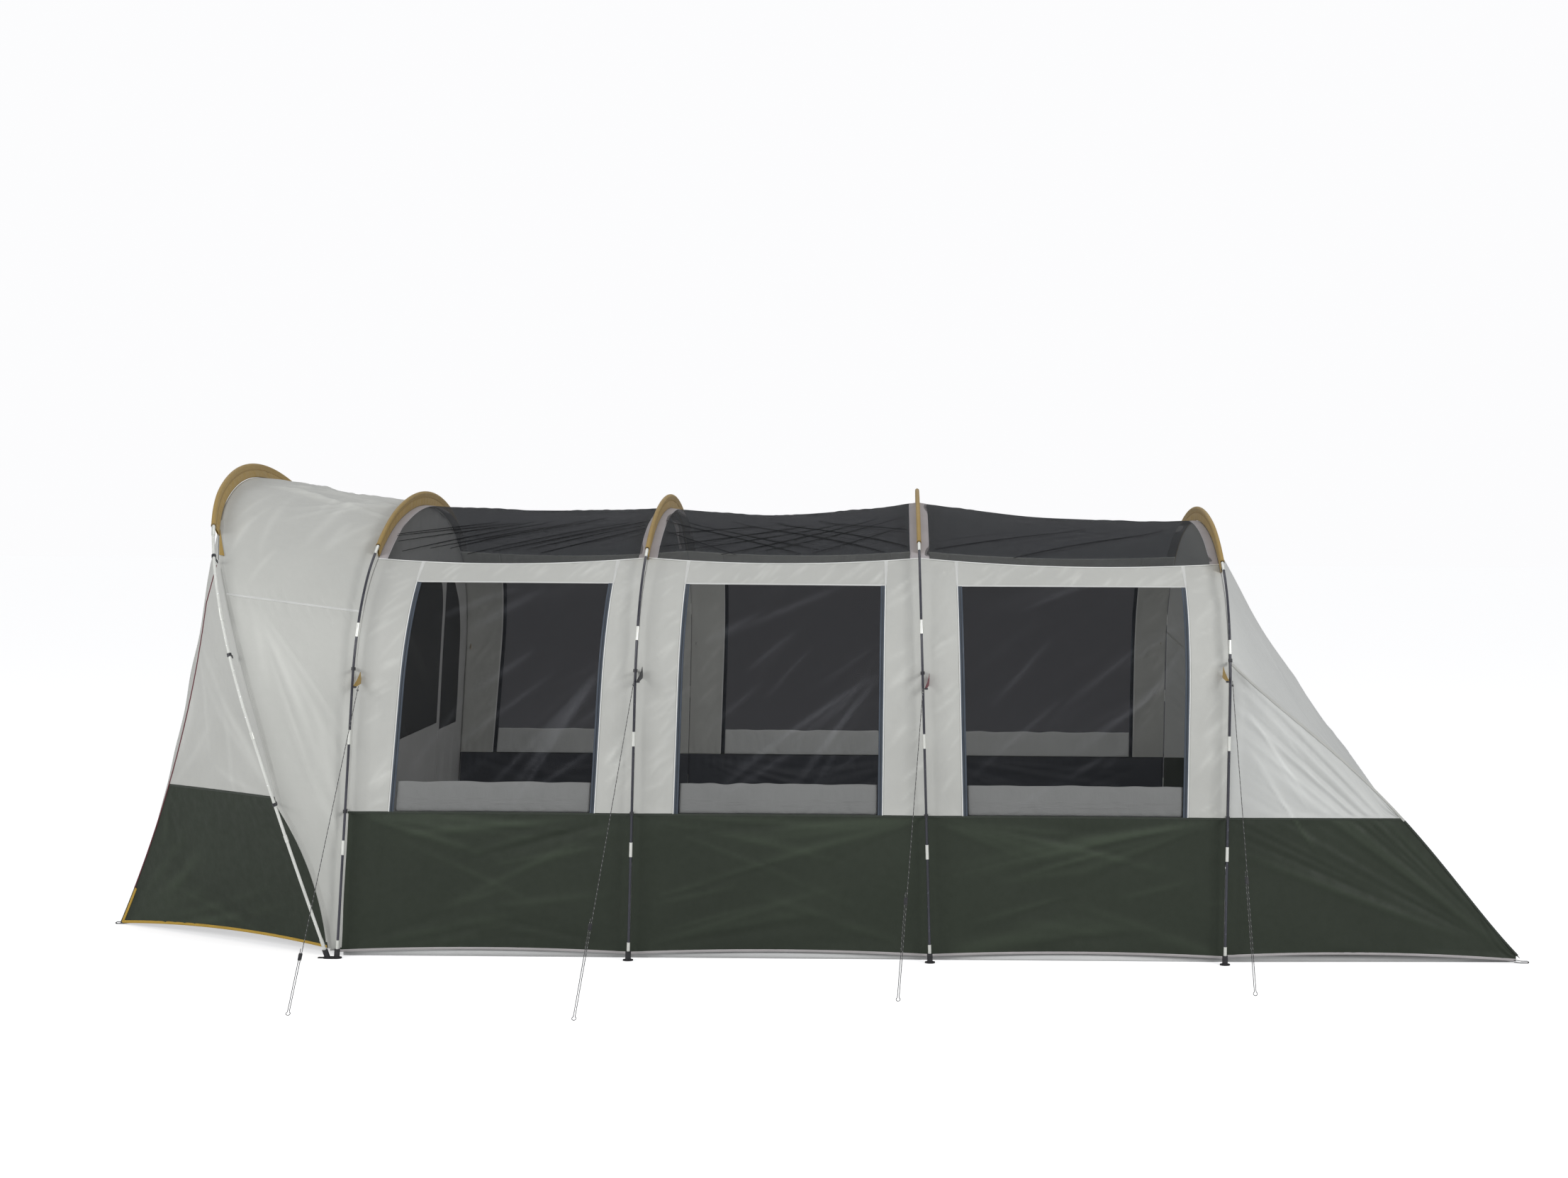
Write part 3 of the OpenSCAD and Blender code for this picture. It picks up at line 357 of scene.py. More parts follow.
GREY = (0.478, 0.482, 0.455)
M = {
    "grey": cloth_material("grey_cloth", GREY),
    "canopy": cloth_material("canopy_cloth", (0.500, 0.505, 0.475), spread=0.035),
    # The rear panels get the walls' grey painted paler and bluer, as painted light for the brighter light
    # that falls on the rear
    "rear": cloth_material("rear_cloth_painted_light", (0.520, 0.530, 0.515), spread=0.05),
    # The green cloth's folds get painted highlight, 1.9 times its own colour
    "green": cloth_material("green_cloth", (0.0225, 0.0300, 0.0195), spread=0.10, roughness=0.62,
                            sheen=0.04, fold_highlight_gain=1.9, gloss=0.32),
    # The window mesh's folds get strong painted highlight, 24 times its own colour, for the pale streaks of
    # light on them
    "window": cloth_material("window_mesh", (0.0145, 0.0150, 0.0165), 0.0016, 0.7, 0.10, sheen=0.0,
                             alpha=0.24, fold_highlight_gain=24.0, gloss=0.15),
    "roof": cloth_material("roof_mesh", (0.021, 0.024, 0.027), 0.0016, 0.7, 0.10, 0.2, 0.0, 0.42, 0.35),
    # Pleats: the doubled mesh lets less through, and its colour is painted far darker than the roof mesh as
    # shade in the folds
    "pleat": cloth_material("pleated_mesh_painted_shade", (0.004, 0.005, 0.006), 0.0016, 0.7, 0.10, 0.1, 0.0, 0.60, 1.0,
                            gloss=0.1),
    "inner_mesh": cloth_material("inner_mesh", (0.022, 0.025, 0.029), 0.0016, 0.7, 0.08, 0.2, 0.0, 0.42),
    "inner": cloth_material("inner_cloth", (0.46, 0.46, 0.45), spread=0.08, crinkle=0.8),
    "navy": cloth_material("navy_coating", (0.022, 0.026, 0.036), spread=0.10, roughness=0.5, sheen=0.0),
    "pocket": cloth_material("pocket_cloth", (0.56, 0.57, 0.56), spread=0.07, crinkle=0.9),
    "gold": cloth_material("gold_cloth", (0.330, 0.215, 0.052), spread=0.09, crinkle=0.7, roughness=0.58),
    "floor_cloth": cloth_material("floor_cloth", (0.60, 0.605, 0.60), 0.0020, 0.45, 0.08, 0.6, 0.05),
    "tape": tape_material("mauve_tape", (0.390, 0.365, 0.375), rows=(0.015,)),
    "seam": tape_material("pale_seam", (0.610, 0.615, 0.595), rows=(0.0030,)),
    "cover_seam": tape_material("grey_seam", (0.47, 0.473, 0.445), rows=(0.0028,)),
    "green_seam": tape_material("green_seam", (0.021, 0.028, 0.019), rows=(0.0028,), stitch=1.6),
    "piping": tape_material("white_piping", (0.74, 0.75, 0.73), rows=(), ribs=0.0022),
    "red": tape_material("red_piping", (0.135, 0.030, 0.040), rows=(), ribs=0.0022),
    "yellow": tape_material("yellow_trim", (0.50, 0.31, 0.035), rows=(0.0045,)),
    "gold_seam": tape_material("gold_seam", (0.300, 0.190, 0.045), rows=(0.0026,)),
    "zip": zip_tape_material(),
    "dark_tape": tape_material("dark_webbing", (0.022, 0.022, 0.024), rows=(0.0060,), stitch=2.4),
    "hem": tape_material("hem_tape", (0.42, 0.40, 0.40), rows=(0.0020,)),
    "canopy_pole": pole_material("canopy_pole", (0.60, 0.61, 0.57), (0.72, 0.73, 0.69), 0.40),
    "bay_pole": pole_material("bay_pole", (0.020, 0.021, 0.030), (0.045, 0.046, 0.062)),
    "ferrule": metal_material("ferrule", (0.80, 0.81, 0.76), 0.36),
    "zip_metal": metal_material("zip_metal", (0.10, 0.10, 0.11), 0.35),
    "foot": plastic_material("foot_plastic", (0.018, 0.018, 0.020)),
    "clip": plastic_material("clip_plastic", (0.022, 0.022, 0.026), 0.42),
    "slider": plastic_material("slider_plastic", (0.016, 0.016, 0.018), 0.40),
    "rope": rope_material(),
}

# ---------------------------------------------------------------- points on the tent


def mix(a, b, f):
    return a * (1 - f) + b * f


def hump(f):
    return 4 * f * (1 - f)


def swept(arcs, turns, bend, part):
    """Sideways reach (part sin) or drop (part -cos) of a run of arcs, turned by bend degrees."""
    total, start = 0.0, 0.0
    for radius, turn in zip(arcs, turns):
        here = np.radians(np.clip(bend, start, start + turn))
        total = total + radius * (part(here) - part(math.radians(start)))
        start += turn
    return total


TURNS = np.arange(0, 150.01, 0.25)


def rib_table(index, pole):
    """Reach and height of a hoop at each of TURNS: 0 to 90 bends, and 90 to 150 runs down the leg."""
    arcs, turns = CANOPY_ARCS if index == 0 else BAY_ARCS
    less = CANOPY_FABRIC if index == 0 else BAY_FABRIC
    if not pole:
        arcs = [radius - cut for radius, cut in zip(arcs, less)]
    leg = np.clip((TURNS - 90) / LEG_TURN, 0, 1)
    bend = np.minimum(TURNS, 90) + (leg * turns[2] if index == 0 else 0)
    top = HOOPS[index][2] - (0 if pole else CROWN_INSET)
    height = top - swept(arcs, turns, bend, lambda t: -np.cos(t))
    if index > 0:
        height = height * (1 - leg)
    return swept(arcs, turns, bend, np.sin), height


RIBS = {(index, pole): rib_table(index, pole) for index in range(5) for pole in (False, True)}


def stack(x, y, z):
    return np.stack(np.broadcast_arrays(np.asarray(x, float), y, z), -1)


def flat_rib(index, turn, pole=False):
    reach, height = RIBS[index, pole]
    size = np.abs(turn)
    return np.sign(turn) * np.interp(size, TURNS, reach), np.interp(size, TURNS, height)


def in_plane(index, across, up, off=0.0):
    x, lean, _ = HOOPS[index]
    return stack(x + math.sin(lean) * up + math.cos(lean) * off, across,
                 math.cos(lean) * up - math.sin(lean) * off)


def rib(index, turn, pole=False):
    across, up = flat_rib(index, turn, pole)
    if index > 0 or pole:
        return in_plane(index, across, up)
    low = np.clip(up / CANOPY_CLIP_H, 0, 1)
    high = np.clip((up - CANOPY_CLIP_H) / CANOPY_UPPER_H, 0, 1)
    return in_plane(index, across, up, CANOPY_BOW[0] * hump(low) + CANOPY_BOW[1] * hump(high))


def turn_at(index, z):
    """The turn at which the fabric rib passes height z."""
    height = RIBS[index, False][1]
    return np.interp(-np.asarray(z, float) / math.cos(HOOPS[index][1]), -height, TURNS)


def wall(bay, f, z, side=-1):
    f, z = np.broadcast_arrays(np.asarray(f, float), np.asarray(z, float))
    a = rib(bay, side * turn_at(bay, z))
    b = rib(bay + 1, side * turn_at(bay + 1, z))
    p = mix(a, b, f[..., None])
    p[..., 1] -= side * WALL_SAG * hump(f)
    return p


def wall_share(bay, x, z):
    """Share of the way along a wall at which height z has this x."""
    a = rib(bay, turn_at(bay, z))[..., 0]
    b = rib(bay + 1, turn_at(bay + 1, z))[..., 0]
    return (x - a) / (b - a)


def seam_height(bay, f):
    return mix(SEAM_Z[bay], SEAM_Z[bay + 1], f) - SEAM_SAG * hump(f)


def window_side(bay, z, right):
    top, bottom = WINDOW_X[bay][right], WINDOW_X[bay][2 + right]
    return mix(bottom, top, (z - BAND_Z) / (WINDOW_TOP_Z - BAND_Z))


def roof(bay, f, w):
    z = seam_height(bay, f)
    p = mix(rib(bay, w * turn_at(bay, z)), rib(bay + 1, w * turn_at(bay + 1, z)), f[..., None])
    p[..., 1] -= WALL_SAG * hump(f) * w * np.abs(w)
    p[..., 2] -= ROOF_SAG[bay] * hump(f) * (1 - w * w)
    return p


def front(u, t):
    u, t = np.broadcast_arrays(np.asarray(u, float), np.asarray(t, float))
    p = mix(rib(0, u * FRONT_TURN), stack(FRONT_X + 0.001, u * FRONT_HALF_W, 0.004), t[..., None])
    hollow = FRONT_HOLLOW * np.clip((np.abs(u) - DOOR_U) / 0.35, 0, 1)
    slack = DOOR_HOLLOW * np.clip((DOOR_U - u) / 0.25, 0, 1)
    p[..., 0] += np.maximum(hollow, slack) * hump(np.clip((t - 0.12) / 0.88, 0, 1))
    return p


WING_TOP_Z = float(rib(0, FRONT_TURN)[2])
WING_SPLIT = (WING_TOP_Z - WING_BAND_Z) / (WING_TOP_Z - WING_HEM_Z)


def wing(s, w, side=-1):
    s, w = np.broadcast_arrays(np.asarray(s, float), np.asarray(w, float))
    p = mix(rib(0, side * turn_at(0, mix(WING_TOP_Z, WING_HEM_Z, s))), front(side * np.ones_like(s), s),
            w[..., None])
    p[..., 2] += WING_HEM_LIFT * hump(w) * s ** 6
    return p


RIDGE_TURN = float(turn_at(4, RIDGE_Z))


def rear(u, t):
    u, t = np.broadcast_arrays(np.asarray(u, float), np.asarray(t, float))
    hollow = REAR_HOLLOW * 27 / 4 * t * (1 - t) ** 2 * (1 - u ** 4)
    bow = RIDGE_BOW * hump(t) ** 2 * u ** 4
    p = mix(rib(4, u * RIDGE_TURN), stack(REAR_X, u * REAR_HALF_W, REAR_GROUND_Z), t[..., None])
    p[..., 0] += BOW_WAY[0] * bow - HOLLOW_WAY[0] * hollow
    p[..., 2] += BOW_WAY[1] * bow - HOLLOW_WAY[1] * hollow
    return p


def rear_drop(u, z):
    """Share of the way down the rear slope at which it passes height z."""
    u = np.asarray(u, float)
    t = np.full_like(u, 0.5)
    fall = rib(4, u * RIDGE_TURN)[..., 2] - REAR_GROUND_Z
    for _ in range(8):
        t = t + (rear(u, t)[..., 2] - z) / fall
    return t


REAR_SIDE_SPLIT = float(rear_drop(-1.0, BAND_Z)) + 0.005


def rear_side(t, s, side=-1):
    t, s = np.broadcast_arrays(np.asarray(t, float), np.asarray(s, float))
    corner = stack(REAR_X, side * REAR_HALF_W, REAR_GROUND_Z - 0.006)
    low = mix(rib(4, side * turn_at(4, np.full_like(t, HEM_Z))), corner, t[..., None])
    low[..., 2] += REAR_HEM_LIFT * hump(t)
    return mix(low, rear(side * np.ones_like(t), t), s[..., None])


def rear_side_share(t, z, side):
    """Share of the way up a rear side at which it passes height z."""
    low, high = rear_side(t, 0, side)[..., 2], rear_side(t, 1, side)[..., 2]
    return (z - low) / (high - low)


# ---------------------------------------------------------------- meshes


def graded(length, coarse, fine):
    """Shares 0 to 1 whose spacing is fine at both ends and grows to coarse in the middle."""
    steps, size, total = [0.0], fine, 0.0
    while total < length / 2:
        total += size
        steps.append(total)
        size = min(coarse, size * 1.35)
    half = np.array(steps) / steps[-1] / 2
    return np.concatenate([half, 1 - half[-2::-1]])


def even(length, step):
    return np.linspace(0, 1, max(2, int(round(length / step))) + 1)


def unit(vectors):
    return vectors / np.maximum(np.linalg.norm(vectors, axis=-1, keepdims=True), 1e-9)


def run_of(path):
    """Distance along a path at each of its points."""
    return np.concatenate([[0], np.cumsum(np.linalg.norm(np.diff(path, axis=0), axis=1))])


def normals_of(grid, outward):
    n = unit(np.cross(np.gradient(grid, axis=0), np.gradient(grid, axis=1)))
    return n if (n * np.asarray(outward)).sum(-1).mean() > 0 else -n


def distances(grid, axis):
    steps = np.linalg.norm(np.diff(grid, axis=axis), axis=-1)
    pad = [(0, 0), (0, 0)]
    pad[axis] = (1, 0)
    return np.pad(np.cumsum(steps, axis), pad)


def finish_mesh(mesh, uvs, material, creases=None):
    """A linked object of a mesh, smooth, with its material and a UV map in metres called cloth.
    uvs, and creases (how strongly painted highlight lightens the colour along folds), are given for each
    vertex."""
    corner = np.empty(len(mesh.loops), np.int32)
    mesh.loops.foreach_get("vertex_index", corner)
    layer = mesh.uv_layers.new(name="cloth")
    layer.data.foreach_set("uv", np.asarray(uvs, np.float32)[corner].ravel())
    # Each vertex's strength of the painted highlight along folds
    if creases is not None:
        fold_highlight = mesh.attributes.new("fold_highlight", "FLOAT", "POINT")
        fold_highlight.data.foreach_set("value", np.asarray(creases, np.float32))
    mesh.polygons.foreach_set("use_smooth", np.ones(len(mesh.polygons), bool))
    mesh.materials.append(M[material])
    piece = bpy.data.objects.new(mesh.name, mesh)
    bpy.context.scene.collection.objects.link(piece)
    return piece


def make_mesh(name, points, faces, uvs, material, creases=None, lined=None):
    """A piece from points and faces. lined is the material of a closed sheet's inner layer, if that
    differs."""
    mesh = bpy.data.meshes.new(name)
    mesh.from_pydata(np.asarray(points).tolist(), [], faces)
    piece = finish_mesh(mesh, uvs, material, creases)
    if lined:
        mesh.materials.append(M[lined])
        half = len(points) // 2
        for face in mesh.polygons:
            face.material_index = int(min(face.vertices) >= half)
    mesh.update()
    return piece


def settle(piece, slot, body="tent", stands_for=()):
    """Gives a finished piece its body and hides the CAD nodes that it stands for; its slot is not used."""
    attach(piece, body)
    if stands_for:
        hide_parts(*stands_for)
    return piece


def fold(x, y, line):
    """Height of a ridge along a line (x0, y0, x1, y1, height, width), and how strong it is."""
    x0, y0, x1, y1, height, width = line
    dx, dy = x1 - x0, y1 - y0
    length = math.hypot(dx, dy)
    along = np.clip(((x - x0) * dx + (y - y0) * dy) / length ** 2, 0, 1)
    across = ((x - x0) * dy - (y - y0) * dx) / length
    strength = hump(along) * np.exp(-(across / width) ** 2)
    return height * strength, strength


def ease(x):
    x = np.clip(x, 0, 1)
    return x * x * (3 - 2 * x)


def relief(grid, seed, broad=0.004, size=0.5, folds=(), pucker=0.0, pucker_ends=("low", "high"), edge=0.06,
           clear=0.0, plane=None):
    """How far each point of a panel stands off its smooth surface, and how strongly painted highlight
    lightens its colour along its folds.
    Folds are in shares of the panel's own width and height, or in metres where plane gives two
    coordinates for each point. Below clear the panel only stands outwards."""
    rng = np.random.default_rng(seed)
    x, y = distances(grid, 1), distances(grid, 0)
    width, height = x[:, -1].max(), y[-1].max()
    off = np.zeros_like(x)
    for _ in range(7):
        angle, phase = rng.uniform(0, math.pi), rng.uniform(0, 2 * math.pi)
        wave = 2 * math.pi / (size * rng.uniform(0.5, 1.5))
        off += broad * 0.4 * np.sin(wave * (x * math.cos(angle) + y * math.sin(angle)) + phase)
    fold_highlight = np.zeros_like(x)
    fold_x, fold_y, wide, tall = x, y, width, height
    if plane is not None:
        fold_x, fold_y, wide, tall = *plane, 1.0, 1.0
    for x0, y0, x1, y1, rise, breadth in folds:
        line = (x0 * wide, y0 * tall, x1 * wide, y1 * tall, rise, breadth)
        ridge, strength = fold(fold_x, fold_y, line)
        off += ridge
        # Folds that stand out get painted highlight along them
        fold_highlight += 0.35 * np.sign(rise) * strength
    if clear:
        off = mix(np.maximum(off, -0.0005), off, ease((y - clear) / 0.05))
    right, top = x[:, -1:] - x, y[-1:] - y
    off *= ease(np.minimum(np.minimum(x, right), np.minimum(y, top)) / edge)
    if pucker:
        ripple = np.zeros_like(x)
        for _ in range(9):
            ripple += np.sin(2 * math.pi * x / rng.uniform(0.028, 0.11) + rng.uniform(0, 6.3))
        ends = [d for name, d in (("low", y), ("high", top)) if name in pucker_ends]
        near = sum((d / 0.02) * np.exp(1 - d / 0.02) for d in ends)
        off += pucker * 0.33 * ripple * near * ease(np.minimum(x, right) / 0.02)
    return off, np.clip(fold_highlight, 0, 1)


def shell(points, normals, thickness):
    """Points and faces of a closed sheet around a grid of points."""
    rows, cols = points.shape[:2]
    outer = (points + normals * thickness / 2).reshape(-1, 3)
    inner = (points - normals * thickness / 2).reshape(-1, 3)
    n = rows * cols
    index = np.arange(n).reshape(rows, cols)
    a, b = index[:-1, :-1].ravel(), index[:-1, 1:].ravel()
    c, d = index[1:, 1:].ravel(), index[1:, :-1].ravel()
    flip = (np.cross(points[1, 0] - points[0, 0], points[0, 1] - points[0, 0]) * normals[0, 0]).sum() > 0
    quads = np.stack([a, d, c, b] if flip else [a, b, c, d], 1)
    back = quads[:, ::-1] + n
    loop = np.concatenate([index[0, :-1], index[:-1, -1], index[-1, :0:-1], index[:0:-1, 0]])
    after = np.roll(loop, -1)
    rim = np.stack([loop, loop + n, after + n, after], 1)
    if not flip:
        rim = rim[:, ::-1]
    faces = np.concatenate([quads, back, rim[:, ::-1]])
    return np.concatenate([outer, inner]), faces.tolist()


def declare_sheet(piece, across, down, area, **facts):
    """Rounds a sheet's flat size, and holds its cut area to 0.3 to 1 of that rectangle."""
    across, down = round(across, 3), round(down, 3)
    area = min(max(area, 0.301 * across * down), 0.999 * across * down)


def panel(name, grid, material, slot, outward, seed, held="stretched", body="tent", stands_for=(),
          thickness=CLOTH, rests_on=(), lined=None, **shape):
    """A sheet of cloth on a grid of points, with its relief."""
    n = normals_of(grid, outward)
    off, fold_highlight = relief(grid, seed, **shape)
    points, faces = shell(grid + n * off[..., None], n, thickness)
    uv = np.stack([distances(grid, 1), distances(grid, 0)], -1).reshape(-1, 2)
    piece = make_mesh(name, points, faces, np.tile(uv, (2, 1)), material, np.tile(fold_highlight.ravel(), 2), lined)
    settle(piece, slot, body, stands_for)
    across, down = distances(grid, 1)[:, -1].max(), distances(grid, 0)[-1].max()
    declare_sheet(piece, across, down, sheet_area(grid), held=held, rests_on=rests_on)
    return piece


def surface_out(at, a, b, outward):
    """Unit normal of a surface function at (a, b)."""
    step = 0.003
    n = unit(np.cross(at(a + step, b) - at(a - step, b), at(a, b + step) - at(a, b - step)))
    return n * np.where((n * np.asarray(outward)).sum(-1, keepdims=True) > 0, 1, -1)


def sheet_area(grid):
    a = np.cross(grid[1:, 1:] - grid[:-1, :-1], grid[1:, :-1] - grid[:-1, 1:])
    return float(np.linalg.norm(a, axis=-1).sum() / 2)


def ring_faces(rings, count):
    """Quads between rings of count points each, and a face over each end."""
    faces = []
    for k in range(rings - 1):
        for m in range(count):
            a, b = k * count + m, k * count + (m + 1) % count
            faces.append((a, a + count, b + count, b))
    faces.append(tuple(range(count)))
    faces.append(tuple(range(rings * count - 1, (rings - 1) * count - 1, -1)))
    return faces


# Cross-sections: (across, out) as shares of a strip's half width and its thickness
TAPE = 0.0014
FLAT_STRIP = ((-1, 0), (-0.96, 0.7), (-0.8, 1), (0.8, 1), (0.96, 0.7), (1, 0))
ROUND_STRIP = tuple((math.cos(a), 1 + math.sin(a)) for a in np.linspace(math.pi, -math.pi, 9)[:-1])


def strip(path, out, width, thickness, section=FLAT_STRIP, lift=0.0, taper=None):
    """Points, faces and UVs of a tape along a path. out is the way its face looks at each point."""
    path, out = np.asarray(path, float), np.broadcast_to(np.asarray(out, float), np.shape(path))
    ahead = unit(np.gradient(path, axis=0))
    side = unit(np.cross(ahead, out))
    up = np.cross(side, ahead)
    half = np.full(len(path), width / 2) if taper is None else np.asarray(taper) * width / 2
    points, uvs = [], []
    far = run_of(path)
    for across, rise in section:
        points.append(path + side * (across * half)[:, None] + up * (lift + rise * thickness))
        uvs.append(np.stack([far, across * half], 1))
    points = np.stack(points, 1).reshape(-1, 3)
    uvs = np.stack(uvs, 1).reshape(-1, 2)
    return points, ring_faces(len(path), len(section)), uvs


class Group:
    """Several strips or shells that become one piece."""

    def __init__(self):
        self.points, self.faces, self.uvs, self.count = [], [], [], 0

    def add(self, points, faces, uvs):
        self.points.append(np.asarray(points))
        self.uvs.append(np.asarray(uvs))
        self.faces += [tuple(i + self.count for i in face) for face in faces]
        self.count += len(points)

    def strip(self, *args, **kwargs):
        self.add(*strip(*args, **kwargs))

    def along(self, at, a, b, outward, width, thickness=TAPE, nudge=(0, 0), lift=0.0004, **shape):
        """A tape along a surface function, which faces as the surface does at (a, b) + nudge."""
        a, b = np.broadcast_arrays(np.asarray(a, float), np.asarray(b, float))
        out = surface_out(at, a + nudge[0], b + nudge[1], outward)
        self.strip(at(a, b), out, width, thickness, lift=lift, **shape)

    def piece(self, name, material, slot, body="tent", stands_for=()):
        made = make_mesh(name, np.concatenate(self.points), self.faces, np.concatenate(self.uvs), material)
        sharp_edges(made.data)
        return settle(made, slot, body, stands_for)


def sharp_edges(mesh, degrees=40):
    mesh.set_sharp_from_angle(angle=math.radians(degrees))


def fan(rng, count, corner, reach, spread, rise=(0.002, 0.005), breadth=(0.012, 0.030)):
    """Folds that run out of a corner (x, y) over reach, within spread degrees (low, high)."""
    lines = []
    for _ in range(count):
        angle = math.radians(rng.uniform(*spread))
        start, end = rng.uniform(0.0, 0.12), reach * rng.uniform(0.45, 1.0)
        lines.append((corner[0] + start * math.cos(angle), corner[1] + start * math.sin(angle),
                      corner[0] + end * math.cos(angle), corner[1] + end * math.sin(angle),
                      rng.uniform(*rise) * rng.choice([-1, 1, 1]), rng.uniform(*breadth)))
    return lines


def drift(rng, count, angle, length, rise=(0.0015, 0.004), breadth=(0.010, 0.026), area=((0, 1), (0, 1))):
    """Folds scattered over a panel, near this angle (low, high) in degrees."""
    lines = []
    for _ in range(count):
        x, y = rng.uniform(*area[0]), rng.uniform(*area[1])
        turn, far = math.radians(rng.uniform(*angle)), length * rng.uniform(0.4, 1.0)
        lines.append((x, y, x + far * math.cos(turn), y + far * math.sin(turn),
                      rng.uniform(*rise) * rng.choice([-1, 1, 1]), rng.uniform(*breadth)))
    return lines


# ---------------------------------------------------------------- guy lines

GUY_D = 0.003
GUY_PITCH = 0.007
GUY_LOOP_R = 0.008
GUY_TAIL = 0.024
SLIDER_L = 0.030
# Where the near lines of hoops 2 to 5 leave their poles, and where they meet the ground
GUY_TOP = ((-1.875, -1.416, 1.168), (-0.695, -1.416, 1.200), (0.543, -1.416, 1.180),
           (1.868, -1.416, 1.220))
GUY_PEG = ((-1.853, -2.674, 0.012), (-0.765, -2.724, 0.012), (0.453, -2.310, 0.012),
           (1.880, -2.140, 0.012))
SLIDER_AT = (0.84, 0.75, 0.70, 0.65)


def guy_route(top, peg, slider_at):
    """Down to the peg, round an open loop, and back up beside itself through the slider."""
    top, peg = np.array(top), np.array(peg)
    length = np.linalg.norm(peg - top)
    down = (peg - top) / length
    across = unit(np.cross(down, (0, down[2], -down[1])))
    straight = length - 5 * GUY_LOOP_R
    end = slider_at * length - SLIDER_L / 2 - GUY_TAIL
    steps = [(mix(0, straight, k / 6), 0) for k in range(7)]
    steps += [(length - GUY_LOOP_R + GUY_LOOP_R * math.sin(a), GUY_PITCH / 2 - GUY_LOOP_R * math.cos(a))
              for a in np.radians(np.arange(-60, 241, 30))]
    steps += [(mix(straight, end, k / 4), GUY_PITCH) for k in range(5)]
    return np.array([top + down * s + across * off for s, off in steps])


def rounded_path(points, step):
    """A smooth curve through the points, with a point about every step."""
    out = [points[0]]
    for k in range(len(points) - 1):
        a, b = points[max(k - 1, 0)], points[k]
        c, d = points[k + 1], points[min(k + 2, len(points) - 1)]
        size = np.linalg.norm(c - b)
        before, after = max(np.linalg.norm(b - a), 1e-6), max(np.linalg.norm(d - c), 1e-6)
        start, end = (c - a) / (before + size) * size, (d - b) / (size + after) * size
        for t in np.linspace(0, 1, max(2, int(math.ceil(size / step))) + 1)[1:]:
            out.append((2 * t ** 3 - 3 * t ** 2 + 1) * b + (t ** 3 - 2 * t ** 2 + t) * start
                       + (3 * t ** 2 - 2 * t ** 3) * c + (t ** 3 - t ** 2) * end)
    return np.array(out)


def tube(path, radius, sides=10):
    """Points, faces and UVs of a round cord; v goes from 0 to 1 round it."""
    ahead = unit(np.gradient(path, axis=0))
    side = np.cross(ahead[0], (0.31, 0.17, 0.93))
    far = run_of(path)
    points, uvs = [], []
    for k, (p, d) in enumerate(zip(path, ahead)):
        side = unit(side - d * side.dot(d))
        up = np.cross(d, side)
        for m in range(sides):
            a = 2 * math.pi * m / sides
            points.append(p + radius * (side * math.cos(a) + up * math.sin(a)))
            uvs.append((far[k], m / sides))
    return points, [face[::-1] for face in ring_faces(len(path), sides)], uvs


def knot(group, centre, along, radius=0.0035, turns=3):
    """A few tight turns of cord round a line."""
    along = unit(np.asarray(along))
    side = unit(np.cross(along, (0.2, 0.3, 0.9)))
    up = np.cross(along, side)
    steps = np.linspace(0, turns, turns * 12 + 1)
    path = [centre + along * (t / turns - 0.5) * turns * 0.0024
            + radius * (side * math.cos(2 * math.pi * t) + up * math.sin(2 * math.pi * t)) for t in steps]
    group.add(*tube(np.array(path), 0.0012, 8))


for number, (top, peg, slider_at) in enumerate(zip(GUY_TOP, GUY_PEG, SLIDER_AT), 2):
    for side_name, side in SIDES.items():
        route = guy_route(top, peg, slider_at) * (1, -side, 1)
        line = rounded_path(route, 0.012)
        guy = make_mesh(f"guy_line_{side_name}_{number}", *tube(line, GUY_D / 2), "rope")
        settle(guy, "guy_cord", stands_for=[f"guy_{side_name}_{number}"])
        knots = Group()
        knot(knots, line[2], line[3] - line[1])
        knot(knots, line[-4], line[-4] - line[-6])
        tied = knots.piece(f"guy_knots_{side_name}_{number}", "rope", "guy_cord")
        length = float(run_of(line)[-1])

# ---------------------------------------------------------------- window bays


def bay_length(bay):
    return HOOPS[bay + 1][0] - HOOPS[bay][0]


